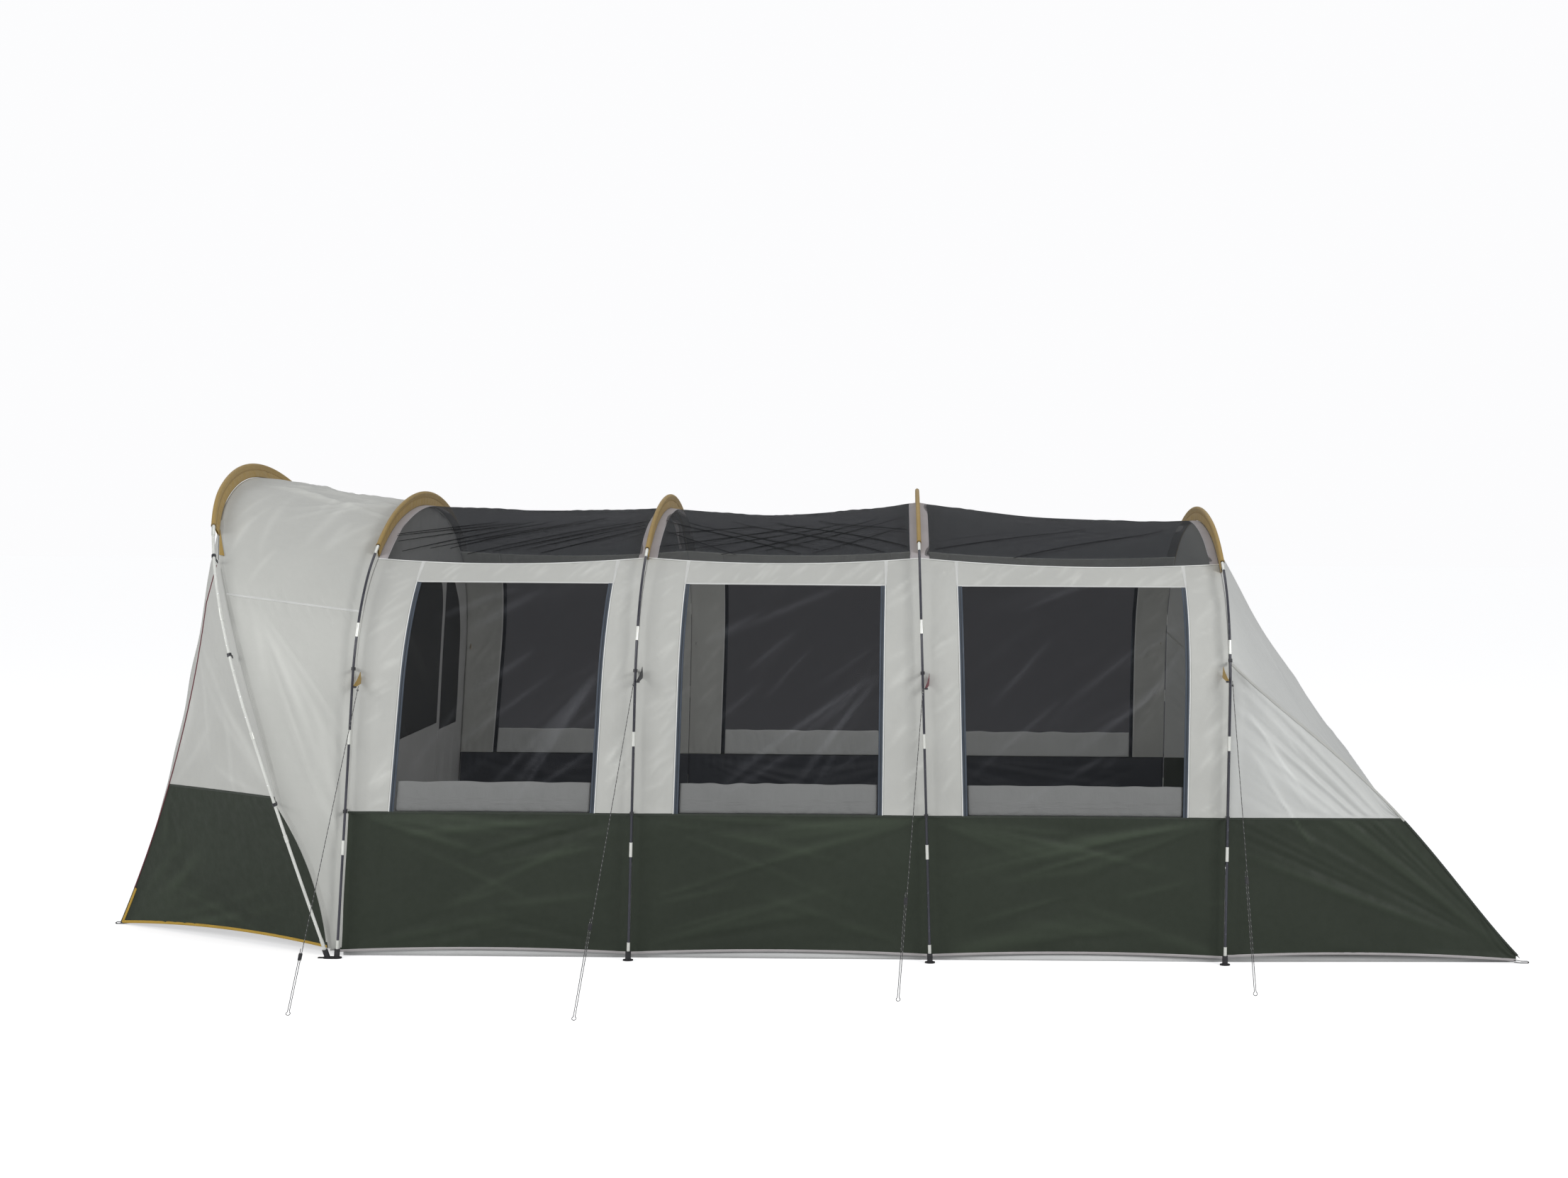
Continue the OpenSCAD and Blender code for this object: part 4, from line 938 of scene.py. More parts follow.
def bay_panels(bay, side_name):
    side = SIDES[side_name]
    out = (0, side, 0.15)
    rng = np.random.default_rng(100 * bay + (1 if side < 0 else 2))
    tag = f"{side_name}_{bay}"
    length = bay_length(bay)

    def grid(f, z):
        return wall(bay, f, z, side)

    # The dark lower wall
    f = even(length, 0.010)[None, :] * (1 - 2 * GAP / length) + GAP / length
    share = graded(0.6, 0.012, 0.005)[:, None]
    z = mix(HEM_Z + HEM_LIFT * hump(f), BAND_Z - GAP, share)
    folds = fan(rng, 9, (0, 1), 1.1, (-48, -8), (0.0015, 0.004), (0.008, 0.020))
    folds += fan(rng, 9, (1, 1), 1.1, (188, 228), (0.0015, 0.004), (0.008, 0.020))
    folds += drift(rng, 8, (15, 40), 0.5, (0.0012, 0.003), (0.008, 0.016))
    folds += fan(rng, 4, (0, 0), 0.9, (8, 40), (0.0015, 0.003)) + fan(rng, 4, (1, 0), 0.9, (140, 172))
    panel(f"lower_wall_{tag}", grid(f, z), "green", "green_cloth", out, bay * 10 + side,
          stands_for=["lower_walls"], broad=0.003, folds=folds, pucker=0.0011, size=0.6, lined="navy")

    # The light pillars beside the window, and the strip over it
    for right, (name, hinge) in enumerate((("front", 0.0), ("rear", 1.0))):
        c = even(0.27, 0.010)[None, :]
        share = graded(1.1, 0.012, 0.006)[:, None]
        near_hoop = GAP / length if right == 0 else 1 - GAP / length
        top = SEAM_Z[bay + right]
        for _ in range(2):
            z = mix(BAND_Z + GAP, top - GAP, share)
            f = mix(near_hoop, wall_share(bay, window_side(bay, z, right), z), c)
            top = seam_height(bay, f)
        folds = drift(rng, 30, (3, 14) if right == 0 else (166, 177), 0.85, (0.0012, 0.0034), (0.006, 0.013),
                      ((0.1, 0.6) if right == 0 else (0.4, 0.9), (0, 1)))
        panel(f"pillar_{name}_{tag}", grid(f, z), "grey", "grey_cloth", out, bay * 20 + right + side,
              stands_for=[f"upper_wall_{bay}"], broad=0.0025, size=0.35, folds=folds, pucker=0.0009,
              edge=0.035)
    c = even(0.95, 0.009)[None, :]
    share = graded(0.1, 0.012, 0.004)[:, None]
    z = mix(WINDOW_TOP_Z + GAP, 1.7, share) + 0 * c
    for _ in range(3):
        left, right = (wall_share(bay, window_side(bay, z, r), z) for r in (0, 1))
        f = mix(left, right, c * 0.998 + 0.001)
        z = mix(WINDOW_TOP_Z + GAP, seam_height(bay, f) - GAP, share)
    folds = drift(rng, 38, (77, 86), 0.9, (0.0014, 0.0034), (0.006, 0.011), ((0, 1), (-0.2, 0.7)))
    panel(f"lintel_{tag}", grid(f, z), "grey", "grey_cloth", out, bay * 30 + side,
          stands_for=[f"upper_wall_{bay}"], broad=0.0015, size=0.25, folds=folds, pucker=0.0012, edge=0.03)

    # The window's mesh
    z = mix(BAND_Z + 2 * GAP, WINDOW_TOP_Z - 2 * GAP, even(1.0, 0.013))[:, None]
    left, right = (wall_share(bay, window_side(bay, z, r), z) for r in (0, 1))
    f = mix(left, right, even(0.95, 0.013)[None, :] * 0.996 + 0.002)
    folds = fan(rng, 8, (1.0, 0.62), 1.0, (200, 238), (0.002, 0.004), (0.006, 0.016))
    folds += drift(rng, 8, (28, 52), 0.7, (0.0015, 0.003), (0.005, 0.014), ((0, 0.8), (0.0, 0.6)))
    folds += drift(rng, 3, (22, 32), 0.8, (0.0015, 0.003), (0.012, 0.022), ((0.1, 0.3), (0.70, 0.85)))
    panel(f"window_net_{tag}", grid(f, z), "window", "window_mesh", out, bay * 40 + side,
          stands_for=[f"window_mesh_{bay}"], broad=0.004, size=0.6, folds=folds, edge=0.05, thickness=NET,
          clear=POCKET_H)
    rolled_cover(bay, side, tag)


def squared(value, power):
    return math.copysign(abs(value) ** power, value)


def rolled_cover(bay, side, tag):
    """The window's cover, folded down into a soft flat roll behind the foot of the mesh."""
    rng = np.random.default_rng(700 + bay + side)
    share = even(0.95, 0.008)
    turn = np.linspace(0, 2 * math.pi, 25)[:-1]
    low, high = BAND_Z + 0.004, BAND_Z + POCKET_H
    middle, half = (low + high) / 2, (high - low) / 2
    waves = [(rng.uniform(1.5, 8), rng.uniform(0, 6.3), rng.uniform(0.3, 1)) for _ in range(6)]
    wave = sum(k * np.sin(2 * math.pi * share * turns + p) for turns, p, k in waves)
    wave = wave * ease(np.minimum(share, 1 - share) / 0.08)
    creases = [(rng.uniform(0, 1), rng.uniform(-2.5, 2.5), rng.uniform(0.010, 0.03)) for _ in range(16)]
    inset = 0.024 / (WINDOW_X[bay][1] - WINDOW_X[bay][0])
    points, uvs = [], []
    for k, along in enumerate(share):
        for a in turn:
            up, out = squared(math.sin(a), 0.42), squared(math.cos(a), 0.7)
            z = middle + half * up + (0.0012 * wave[k] if up > 0.6 else 0.0)
            dents = sum(math.exp(-((along - at - slope * half * up) / size) ** 2)
                        for at, slope, size in creases)
            left, right = (float(wall_share(bay, window_side(bay, z, r), z)) for r in (0, 1))
            f = mix(mix(left, right, inset), mix(left, right, 1 - inset), along)
            point = wall(bay, f, z, side)
            point[1] -= side * (0.0145 - out * (0.0065 - 0.0022 * min(dents, 1.5)))
            points.append(point)
            uvs.append((along * 0.95, a * half))
    faces = ring_faces(len(share), len(turn))
    if side < 0:
        faces = [face[::-1] for face in faces]
    roll = make_mesh(f"rolled_cover_{tag}", points, faces, uvs, "pocket")
    settle(roll, "pocket_cloth", stands_for=["window_pockets"])


def outward_at(bay, f, z, side):
    """Unit normal of a wall, away from the tent."""
    step = 0.004
    along = wall(bay, f + step, z, side) - wall(bay, f - step, z, side)
    up = wall(bay, f, z + step, side) - wall(bay, f, z - step, side)
    n = unit(np.cross(along, up))
    return n * np.sign(n[..., 1:2]) * side


def window_trim(side_name):
    """Zip tapes, piping and seams round the windows of one side."""
    side = SIDES[side_name]
    zips, piping, seams, greens, hems = Group(), Group(), Group(), Group(), Group()

    def run(group, bay, f, z, *section, lower=0.0, look=0.0, **shape):
        group.strip(wall(bay, f, z - lower, side), outward_at(bay, f, z - look, side), *section, **shape)

    for bay in (1, 2, 3):
        z = np.linspace(BAND_Z + 0.004, WINDOW_TOP_Z - 0.003, 60)
        for right, inward in ((0, 1), (1, -1)):
            edge_x = window_side(bay, z, right)
            run(zips, bay, wall_share(bay, edge_x + inward * 0.011, z), z, 0.020, 0.0016, lift=0.0008)
            f = wall_share(bay, edge_x, z)
            run(piping, bay, f, z, 0.0052, 0.0026, ROUND_STRIP, lift=-0.0008)
            z_top = np.linspace(WINDOW_TOP_Z, float(seam_height(bay, f[-1])) - 0.002, 14)
            f = wall_share(bay, window_side(bay, z_top, right), z_top)
            run(seams, bay, f, z_top, 0.016, TAPE, lift=0.0004, taper=np.linspace(0.6, 1.0, 14))
        ends = [float(wall_share(bay, window_side(bay, WINDOW_TOP_Z, r), WINDOW_TOP_Z)) for r in (0, 1)]
        f = np.linspace(*ends, 90)
        run(seams, bay, f, np.full_like(f, WINDOW_TOP_Z), 0.009, TAPE, lift=0.0004)
        f = np.linspace(0.001, 0.999, 130)
        run(greens, bay, f, np.full_like(f, BAND_Z), 0.010, TAPE, lift=0.0003)
        run(piping, bay, f, seam_height(bay, f), 0.0050, 0.0022, ROUND_STRIP, lower=0.001, look=0.02,
            lift=-0.0004)
        run(hems, bay, f, HEM_Z + HEM_LIFT * hump(f), 0.011, 0.0022, lower=0.003, lift=-0.0006)
    zips.piece(f"window_zips_{side_name}", "zip", "zip_metal")
    piping.piece(f"window_piping_{side_name}", "piping", "grey_cloth")
    seams.piece(f"window_seams_{side_name}", "seam", "grey_cloth")
    greens.piece(f"band_seam_{side_name}", "green_seam", "green_cloth")
    hems.piece(f"wall_hem_{side_name}", "hem", "webbing")


def roof_panel(bay):
    rng = np.random.default_rng(50 + bay)
    length = bay_length(bay)
    f = even(length, 0.016)[None, :] * (1 - 2 * GAP / length) + GAP / length
    w = np.linspace(-1, 1, 120)[:, None]
    folds = drift(rng, 16, (-16, 16), 0.9, (0.002, 0.006), (0.008, 0.018), ((-0.1, 0.6), (0.30, 0.70)))
    folds += drift(rng, 12, (-30, 30), 0.7, (0.0015, 0.004), (0.008, 0.016), ((-0.1, 0.6), (0.02, 0.98)))
    panel(f"roof_net_{bay}", roof(bay, f + 0 * w, w + 0 * f), "roof", "roof_mesh", (0, 0, 1), 60 + bay,
          stands_for=[f"roof_mesh_{bay}"], broad=0.004, size=0.7, folds=folds, edge=0.06, thickness=NET)


def roof_pleats(bay):
    """Narrow pressed folds in the roof mesh, where it lies double and its colour is painted darker as shade
    in the folds; in bay 2 they cross as diamonds.
    """
    rng = np.random.default_rng(500 + bay)
    group = Group()
    share = np.linspace(0, 1, 30)
    ways = (-1, 1) if bay == 2 else (1,)
    starts = {1: np.arange(-0.20, 0.62, 0.09), 2: np.arange(-0.20, 0.62, 0.16), 3: (0.05, 0.30)}[bay]
    for side in (-1, 1):
        for way in ways:
            for start in starts:
                f = start + rng.uniform(-0.02, 0.02) + rng.uniform(0.50, 0.60) * share
                low, high = rng.uniform(0.84, 0.93), rng.uniform(0.30, 0.42)
                w = mix(low, high, share) if way == 1 else mix(high, low, share)
                keep = (f > 0.03) & (f < 0.96)
                f, w = f[keep], side * (w[keep] + rng.uniform(-0.02, 0.02) * hump(share[keep]))
                if len(f) < 8:
                    continue
                out = surface_out(lambda a, b: roof(bay, a, b), f, w, (0, 0, 1))
                taper = 0.25 + 0.75 * hump(np.linspace(0.02, 0.98, len(f))) ** 0.5
                group.strip(roof(bay, f, w), out, rng.uniform(0.007, 0.011), 0.0010, lift=0.0062, taper=taper)
    group.piece(f"roof_pleats_{bay}", "pleat", "roof_mesh")


for bay_number in (1, 2, 3):
    for side_name in SIDES:
        bay_panels(bay_number, side_name)
    roof_panel(bay_number)
    roof_pleats(bay_number)
for side_name in SIDES:
    window_trim(side_name)

# ---------------------------------------------------------------- sleeves and hoop tapes

SLEEVE_ROOM = 0.0035
SLEEVE_TURN = (38.0, 30.5, 30.5, 30.5, 30.5)


def sleeve(index):
    """Gold cloth that stands on the roof, wraps the pole and comes back: two webs joined by a tube."""
    rng = np.random.default_rng(300 + index)
    pole_r = CANOPY_POLE_R if index == 0 else POLE_R
    r = pole_r + SLEEVE_ROOM
    limit = SLEEVE_TURN[index]
    turn = np.linspace(-limit, limit, 230)
    pole = np.stack(flat_rib(index, turn, True), -1)
    cloth = np.stack(flat_rib(index, turn), -1)
    out = unit(pole - cloth)
    depth = np.linalg.norm(pole - cloth, axis=1) - 0.0015
    web = np.linspace(1, 0, 9)
    angles = np.radians(np.linspace(200, -20, 15))
    section = [("web", -1, w) for w in web] + [("arc", a, 0) for a in angles]
    section += [("web", 1, w) for w in web[::-1]]
    waves = [(rng.uniform(0.05, 0.22), rng.uniform(0, 6.3), rng.uniform(-1, 1)) for _ in range(8)]
    rows = []
    along = run_of(pole)
    for kind, a, w in section:
        if kind == "arc":
            x, h = r * math.cos(a), r * math.sin(a) + np.zeros_like(turn)
        else:
            h = -mix(1.9 * r, depth, w)
            belly = math.sin(math.pi * w)
            ripple = sum(k * np.sin(2 * math.pi * along / size + p + 2.5 * w) for size, p, k in waves)
            x = a * (0.0022 + 0.0012 * belly) + 0.0009 * belly * ripple
        rows.append(in_plane(index, pole[:, 0] + out[:, 0] * h, pole[:, 1] + out[:, 1] * h, x))
    grid = np.stack(rows, 1)
    n = unit(np.cross(np.gradient(grid, axis=0), np.gradient(grid, axis=1)))
    points, faces = shell(grid, n, 0.0009)
    uv = np.stack([distances(grid, 0), distances(grid, 1)], -1).reshape(-1, 2)
    piece = make_mesh(f"pole_sleeve_{index + 1}", points, faces, np.tile(uv, (2, 1)), "gold",
                      np.zeros(len(points)))
    settle(piece, "gold_cloth", stands_for=[f"sleeve_{index + 1}"])
    around = float(distances(grid, 1)[:, -1].max())
    arch = float(distances(grid, 0)[-1].max())
    declare_sheet(piece, around, arch, sheet_area(grid), held="stretched", rests_on=[f"hoop_{index + 1}"])
    seams = Group()
    for face in (-1, 1):
        h = -2.05 * r
        path = in_plane(index, pole[:, 0] + out[:, 0] * h, pole[:, 1] + out[:, 1] * h, face * 0.0030)
        lean = HOOPS[index][1]
        seams.strip(path, (face * math.cos(lean), 0, -face * math.sin(lean)), 0.0065, 0.0009)
    for end in (0, -1):
        ring = [in_plane(index, pole[end, 0] + out[end, 0] * r * math.sin(a),
                         pole[end, 1] + out[end, 1] * r * math.sin(a), r * math.cos(a))
                for a in np.radians(np.linspace(205, -25, 24))]
        ring = np.array(ring)
        centre = in_plane(index, pole[end, 0], pole[end, 1])
        seams.strip(ring, unit(ring - centre), 0.010, 0.0010, lift=0.0002)
    seams.piece(f"sleeve_seams_{index + 1}", "gold_seam", "gold_cloth")


def hoop_tapes():
    """Mauve tape along each hoop over the mesh roof, on both sides of the sleeve."""
    tapes = Group()
    for bay in (1, 2, 3):
        for end in (0, 1):
            w = np.linspace(-1, 1, 150)
            offset = 0.023 / bay_length(bay)
            f = np.full_like(w, offset if end == 0 else 1 - offset)
            path = roof(bay, f, w)
            ahead = np.gradient(path, axis=0)
            n = unit(np.cross(ahead, roof(bay, f + 0.01, w) - roof(bay, f - 0.01, w)))
            n *= np.sign(n[len(n) // 2, 2])
            tapes.strip(path, n, 0.040, 0.0012, lift=0.0006)
    tapes.piece("roof_tapes", "tape", "webbing")


for hoop_index in range(5):
    sleeve(hoop_index)
hoop_tapes()

# ---------------------------------------------------------------- canopy, wings and front

CANOPY_SEAM_TURN = (float(turn_at(0, 1.55)), float(turn_at(1, 1.48)))
CANOPY_END = 148.6


def canopy_point(turn, share):
    turn, share = np.broadcast_arrays(np.asarray(turn, float), np.asarray(share, float))
    return mix(rib(0, turn), rib(1, turn), share[..., None])


def canopy_panels():
    rng = np.random.default_rng(11)
    share = even(0.95, 0.013)[None, :] * 0.996 + 0.003
    seam = mix(*CANOPY_SEAM_TURN, share)
    turn = seam * np.linspace(-1, 1, 190)[:, None]
    folds = drift(rng, 14, (-12, 12), 1.0, (0.005, 0.011), (0.012, 0.024), ((0.0, 0.5), (0.38, 0.62)))
    folds += fan(rng, 7, (1.0, 0.40), 0.9, (160, 200), (0.004, 0.009), (0.010, 0.020))
    folds += fan(rng, 7, (1.0, 0.60), 0.9, (160, 200), (0.004, 0.009), (0.010, 0.020))
    folds += drift(rng, 12, (20, 70), 0.35, (0.001, 0.003), (0.010, 0.025), ((0, 0.8), (0.02, 0.25)))
    folds += drift(rng, 12, (-70, -20), 0.35, (0.001, 0.003), (0.010, 0.025), ((0, 0.8), (0.75, 0.98)))
    panel("canopy_top", canopy_point(turn, share + 0 * turn), "canopy", "grey_cloth", (0, 0, 1), 21,
          stands_for=["canopy"], broad=0.004, size=0.5, folds=folds, pucker=0.0012)
    for side_name, side in SIDES.items():
        turn = side * mix(seam + 0.05, CANOPY_END, np.linspace(0, 1, 150)[:, None])
        folds = fan(rng, 7, (0.2, 0.0), 0.6, (40, 110), (0.0015, 0.004), (0.010, 0.022))
        folds += drift(rng, 8, (70, 110), 0.5, (0.0015, 0.004), (0.010, 0.022), ((0.1, 0.9), (0.1, 0.6)))
        panel(f"canopy_side_{side_name}", canopy_point(turn, share + 0 * turn), "canopy", "grey_cloth",
              (0, side, 0.1), 22 + side, stands_for=["canopy"], broad=0.004, size=0.5, folds=folds,
              pucker=0.0012, pucker_ends=("low",))


def canopy_trim():
    pale, seams = Group(), Group()
    share = np.linspace(0.01, 0.99, 70)
    turns = np.linspace(31, CANOPY_END - 0.6, 150)
    for side in SIDES.values():
        out = (0, side, 0.3)
        pale.along(canopy_point, side * mix(*CANOPY_SEAM_TURN, share), share, out, 0.011)
        for edge in (0.985, 0.014):
            seams.along(canopy_point, side * turns, edge, out, 0.018)
    pale.piece("canopy_seams", "seam", "grey_cloth")
    seams.piece("canopy_edge_tapes", "cover_seam", "grey_cloth")


def wing_panels(side_name):
    side = SIDES[side_name]
    rng = np.random.default_rng(31 + side)
    w = (even(0.75, 0.012) * 0.996 + 0.002)[None, :]
    for name, low, high, material, slot, node in (
            ("upper", 0.006, WING_SPLIT - 0.0006, "grey", "grey_cloth", "wings_upper"),
            ("lower", WING_SPLIT + 0.0006, 1.0, "green", "green_cloth", "wings_lower")):
        length = (high - low) * 1.8
        s = mix(low, high, graded(length, 0.012, 0.006))[:, None]
        folds = fan(rng, 6, (1, 1), 1.0, (200, 250), (0.0015, 0.004))
        folds += fan(rng, 5, (0, 1), 1.0, (290, 345), (0.0015, 0.0035)) + drift(rng, 6, (60, 120), 0.6)
        panel(f"wing_{name}_{side_name}", wing(s, w, side), material, slot, (0, side, 0), 33 + side,
              stands_for=[node], broad=0.004, size=0.5, folds=folds, pucker=0.0010)


def front_panels():
    rng = np.random.default_rng(41)
    stands = ["front_wall"]
    edge = 0.003
    for name, u0, u1, t0, t1 in (("near", -0.999, -DOOR_U - edge, 0.004, 0.998),
                                 ("far", DOOR_U + edge, 0.999, 0.004, 0.998),
                                 ("head", -DOOR_U, DOOR_U, 0.004, DOOR_TOP - edge),
                                 ("sill", -DOOR_U, DOOR_U, DOOR_BOTTOM + edge, 0.998)):
        tall = (t1 - t0) * 2.0
        u = mix(u0, u1, even(0.7 if name in ("near", "far") else 1.1, 0.016))[None, :]
        t = mix(t0, t1, graded(tall, 0.022, 0.006))[:, None]
        folds = drift(rng, 9, (70, 110), 0.6, (0.0015, 0.004)) if tall > 1 else drift(rng, 8, (30, 150), 0.3)
        panel(f"front_wall_{name}", front(u, t), "grey", "grey_cloth", (-1, 0, 0.3), 44, stands_for=stands,
              broad=0.004 if tall > 1 else 0.0015, size=0.5, folds=folds, pucker=0.0010)
    u = mix(-DOOR_U + edge, DOOR_U - edge, even(1.1, 0.014))[None, :]
    t = mix(DOOR_TOP, DOOR_BOTTOM, graded(1.6, 0.022, 0.006))[:, None]
    folds = drift(rng, 10, (60, 120), 0.7, (0.002, 0.005), (0.012, 0.03))
    folds += fan(rng, 5, (0, 0), 0.8, (20, 70)) + fan(rng, 5, (1, 0), 0.8, (110, 160))
    panel("front_door_cloth", front(u, t), "grey", "grey_cloth", (-1, 0, 0.3), 47, body="front_door",
          stands_for=["front_door"], broad=0.005, size=0.5, folds=folds, pucker=0.0012)


def front_trim():
    wall_zip, door_zip, seams = Group(), Group(), Group()
    out = (-1, 0, 0.35)
    t = np.linspace(DOOR_TOP + 0.002, DOOR_BOTTOM - 0.002, 90)
    u = np.linspace(-DOOR_U + 0.005, DOOR_U - 0.005, 70)
    for group, away in ((wall_zip, 0.0115), (door_zip, -0.0090)):
        group.along(front, -(DOOR_U + away), t, out, 0.014, lift=0.0006)
        for edge_t, way in ((DOOR_TOP, -1), (DOOR_BOTTOM, 1)):
            group.along(front, u, edge_t + way * away * 0.6, out, 0.012, lift=0.0006)
    seams.along(front, DOOR_U + 0.004, t, out, 0.006)
    for side in SIDES.values():
        for low, high in ((0.02, DOOR_TOP), (DOOR_BOTTOM, 0.99)):
            seams.along(front, side * (DOOR_U + 0.001), np.linspace(low, high, 16), out, 0.010)
    wall_zip.piece("front_zip_wall_tape", "zip", "zip_metal")
    door_zip.piece("front_zip_door_tape", "zip", "zip_metal", body="front_door")
    seams.piece("front_seams", "cover_seam", "grey_cloth")


def wing_trim(side_name):
    side = SIDES[side_name]
    red, yellow, seams, greens = Group(), Group(), Group(), Group()
    out = (0, side, 0)

    def at(s, w):
        return wing(s, w, side)

    red.along(at, np.linspace(0.02, 0.90, 130), 0.996, out, 0.0070, 0.0035, (0, -0.01), -0.0030,
              section=ROUND_STRIP)
    yellow.along(at, np.linspace(0.90, 0.998, 30), 0.988, out, 0.014, 0.0016, (0, -0.01))
    yellow.along(at, 0.9965, np.linspace(0.012, 0.985, 90), out, 0.013, 0.0016, (-0.01, 0))
    greens.along(at, WING_SPLIT, np.linspace(0.008, 0.988, 90), out, 0.010, lift=0.0003)
    seams.along(at, np.linspace(0.03, 0.985, 130), 0.010, out, 0.012, nudge=(0, 0.01))
    red.piece(f"wing_piping_{side_name}", "red", "webbing")
    yellow.piece(f"wing_trim_{side_name}", "yellow", "gold_cloth")
    greens.piece(f"wing_band_seam_{side_name}", "green_seam", "green_cloth")
    seams.piece(f"wing_seam_{side_name}", "cover_seam", "grey_cloth")


def gusset(side_name):
    """The gold triangle on the canopy under the end of hoop 1's sleeve."""
    side = SIDES[side_name]
    rows = np.linspace(0, 1, 14)[:, None]
    turn = side * mix(35.5, 45.2, rows)
    share = 0.004 + 0.034 * (0.06 + 0.94 * rows) * np.linspace(0, 1, 7)[None, :]
    grid = canopy_point(turn + 0 * share, share)
    lifted = grid + 0.0035 * normals_of(grid, (0, side, 0.3))
    panel(f"gusset_{side_name}", lifted, "gold", "gold_cloth", (0, side, 0.3), 90 + side, broad=0.0004,
          size=0.1, edge=0.01)


canopy_panels()
canopy_trim()
for side_name in SIDES:
    wing_panels(side_name)
    wing_trim(side_name)
    gusset(side_name)
front_panels()
front_trim()

# ---------------------------------------------------------------- rear bay


def rear_panels():
    rng = np.random.default_rng(61)
    u = (np.linspace(-1, 1, 150) * 0.998)[None, :]
    for name, t0, t1, material, slot, node in (
            ("upper", 0.002, rear_drop(u, BAND_Z + GAP), "rear", "grey_cloth", "rear_slope_upper"),
            ("lower", rear_drop(u, BAND_Z - GAP), 1.0, "green", "green_cloth", "rear_slope_lower")):
        t = mix(t0, t1, graded(1.3 if name == "upper" else 0.7, 0.018, 0.006)[:, None])
        wide = (0.012, 0.03)
        folds = fan(rng, 8, (0, 1.0), 1.1, (280, 335), (0.002, 0.006), wide)
        folds += fan(rng, 8, (1, 1.0), 1.1, (205, 260), (0.002, 0.006), wide)
        folds += drift(rng, 8, (75, 105), 0.8, (0.002, 0.005), wide)
        panel(f"rear_slope_{name}_cloth", rear(u, t), material, slot, (1, 0, 0.6), 63, stands_for=[node],
              broad=0.006, size=0.6, folds=folds, pucker=0.0012)
    for side_name, side in SIDES.items():
        out = (0, side, 0.1)
        # Folds run from the ground corner to the hoop, over both parts of the side
        corner_x, hoop_x = REAR_X - 0.02, HOOPS[4][0] + 0.02
        folds = []
        for height in np.linspace(0.50, 1.32, 17):
            start = rng.uniform(0.0, 0.35)
            way = np.array((hoop_x - corner_x, height + rng.uniform(-0.02, 0.02) - REAR_GROUND_Z))
            folds.append((corner_x + way[0] * start, REAR_GROUND_Z + way[1] * start, corner_x + way[0],
                          REAR_GROUND_Z + way[1], rng.uniform(0.003, 0.008) * rng.choice([-1, 1]),
                          rng.uniform(0.010, 0.017)))
        for height in np.linspace(0.80, 1.15, 9):
            across = rng.uniform(0.02, 0.20)
            folds.append((hoop_x + across, height, hoop_x + across + 0.28, height - 0.40,
                          rng.uniform(0.0015, 0.003), 0.009))
        t = mix(0.002, REAR_SIDE_SPLIT - 0.01, graded(0.9, 0.012, 0.006))[None, :]
        low = rear_side_share(t, BAND_Z + GAP, side)
        s = mix(low, 0.997, graded(0.6, 0.008, 0.004)[:, None])
        grid = rear_side(t + 0 * s, s, side)
        panel(f"rear_side_upper_{side_name}", grid, "rear", "grey_cloth", out, 66 + side,
              stands_for=["rear_sides_upper"], broad=0.003, size=0.4, folds=folds, pucker=0.0010, edge=0.03,
              plane=(grid[..., 0], grid[..., 2]))
        t = mix(0.002, 0.985, even(1.3, 0.012))[None, :]
        top = np.where(t < REAR_SIDE_SPLIT, np.minimum(0.99, rear_side_share(t, BAND_Z - GAP, side)), 0.99)
        s = mix(0, 1, graded(0.6, 0.008, 0.004)[:, None]) * top
        grid = rear_side(t + 0 * s, s, side)
        panel(f"rear_side_lower_{side_name}", grid, "green", "green_cloth", out, 68 + side,
              stands_for=["rear_sides_lower"], broad=0.003, size=0.5, folds=folds, pucker=0.0010, edge=0.03,
              plane=(grid[..., 0], grid[..., 2]))


def rear_trim():
    seams, greens, hems = Group(), Group(), Group()
    pale_t = np.linspace(0.004, REAR_SIDE_SPLIT, 90)
    green_t = np.linspace(REAR_SIDE_SPLIT, 0.99, 70)
    for side in SIDES.values():
        out = (0, side, 0.1)

        def flank(t, s):
            return rear_side(t, s, side)

        for group, t in ((seams, pale_t), (greens, green_t)):
            group.strip(rear(side, t), (0.5, 0.6 * side, 0.6), 0.011, 0.005, ROUND_STRIP, lift=-0.0052)
        t = np.linspace(0.004, REAR_SIDE_SPLIT, 60)
        share = np.minimum(rear_side_share(t, BAND_Z, side), 0.995)
        greens.along(flank, t, share, out, 0.010, nudge=(0, -0.01), lift=0.0003)
        t = np.linspace(0.002, 0.985, 90)
        hems.strip(flank(t, 0.003) - (0, 0, 0.002), surface_out(flank, t, 0.013, out), 0.011, 0.0022,
                   lift=-0.0006)
    u = np.linspace(-0.99, 0.99, 150)
    out = (1, 0, 0.6)
    greens.along(rear, u, rear_drop(u, BAND_Z), out, 0.010, lift=0.0003)
    hems.along(rear, u, 0.997, out, 0.012, 0.0022, (0, -0.01), -0.0006)
    seams.piece("rear_seams", "cover_seam", "grey_cloth")
    greens.piece("rear_band_seams", "green_seam", "green_cloth")
    hems.piece("rear_hem", "hem", "webbing")


rear_panels()
rear_trim()

# ---------------------------------------------------------------- inner doorway and groundsheet


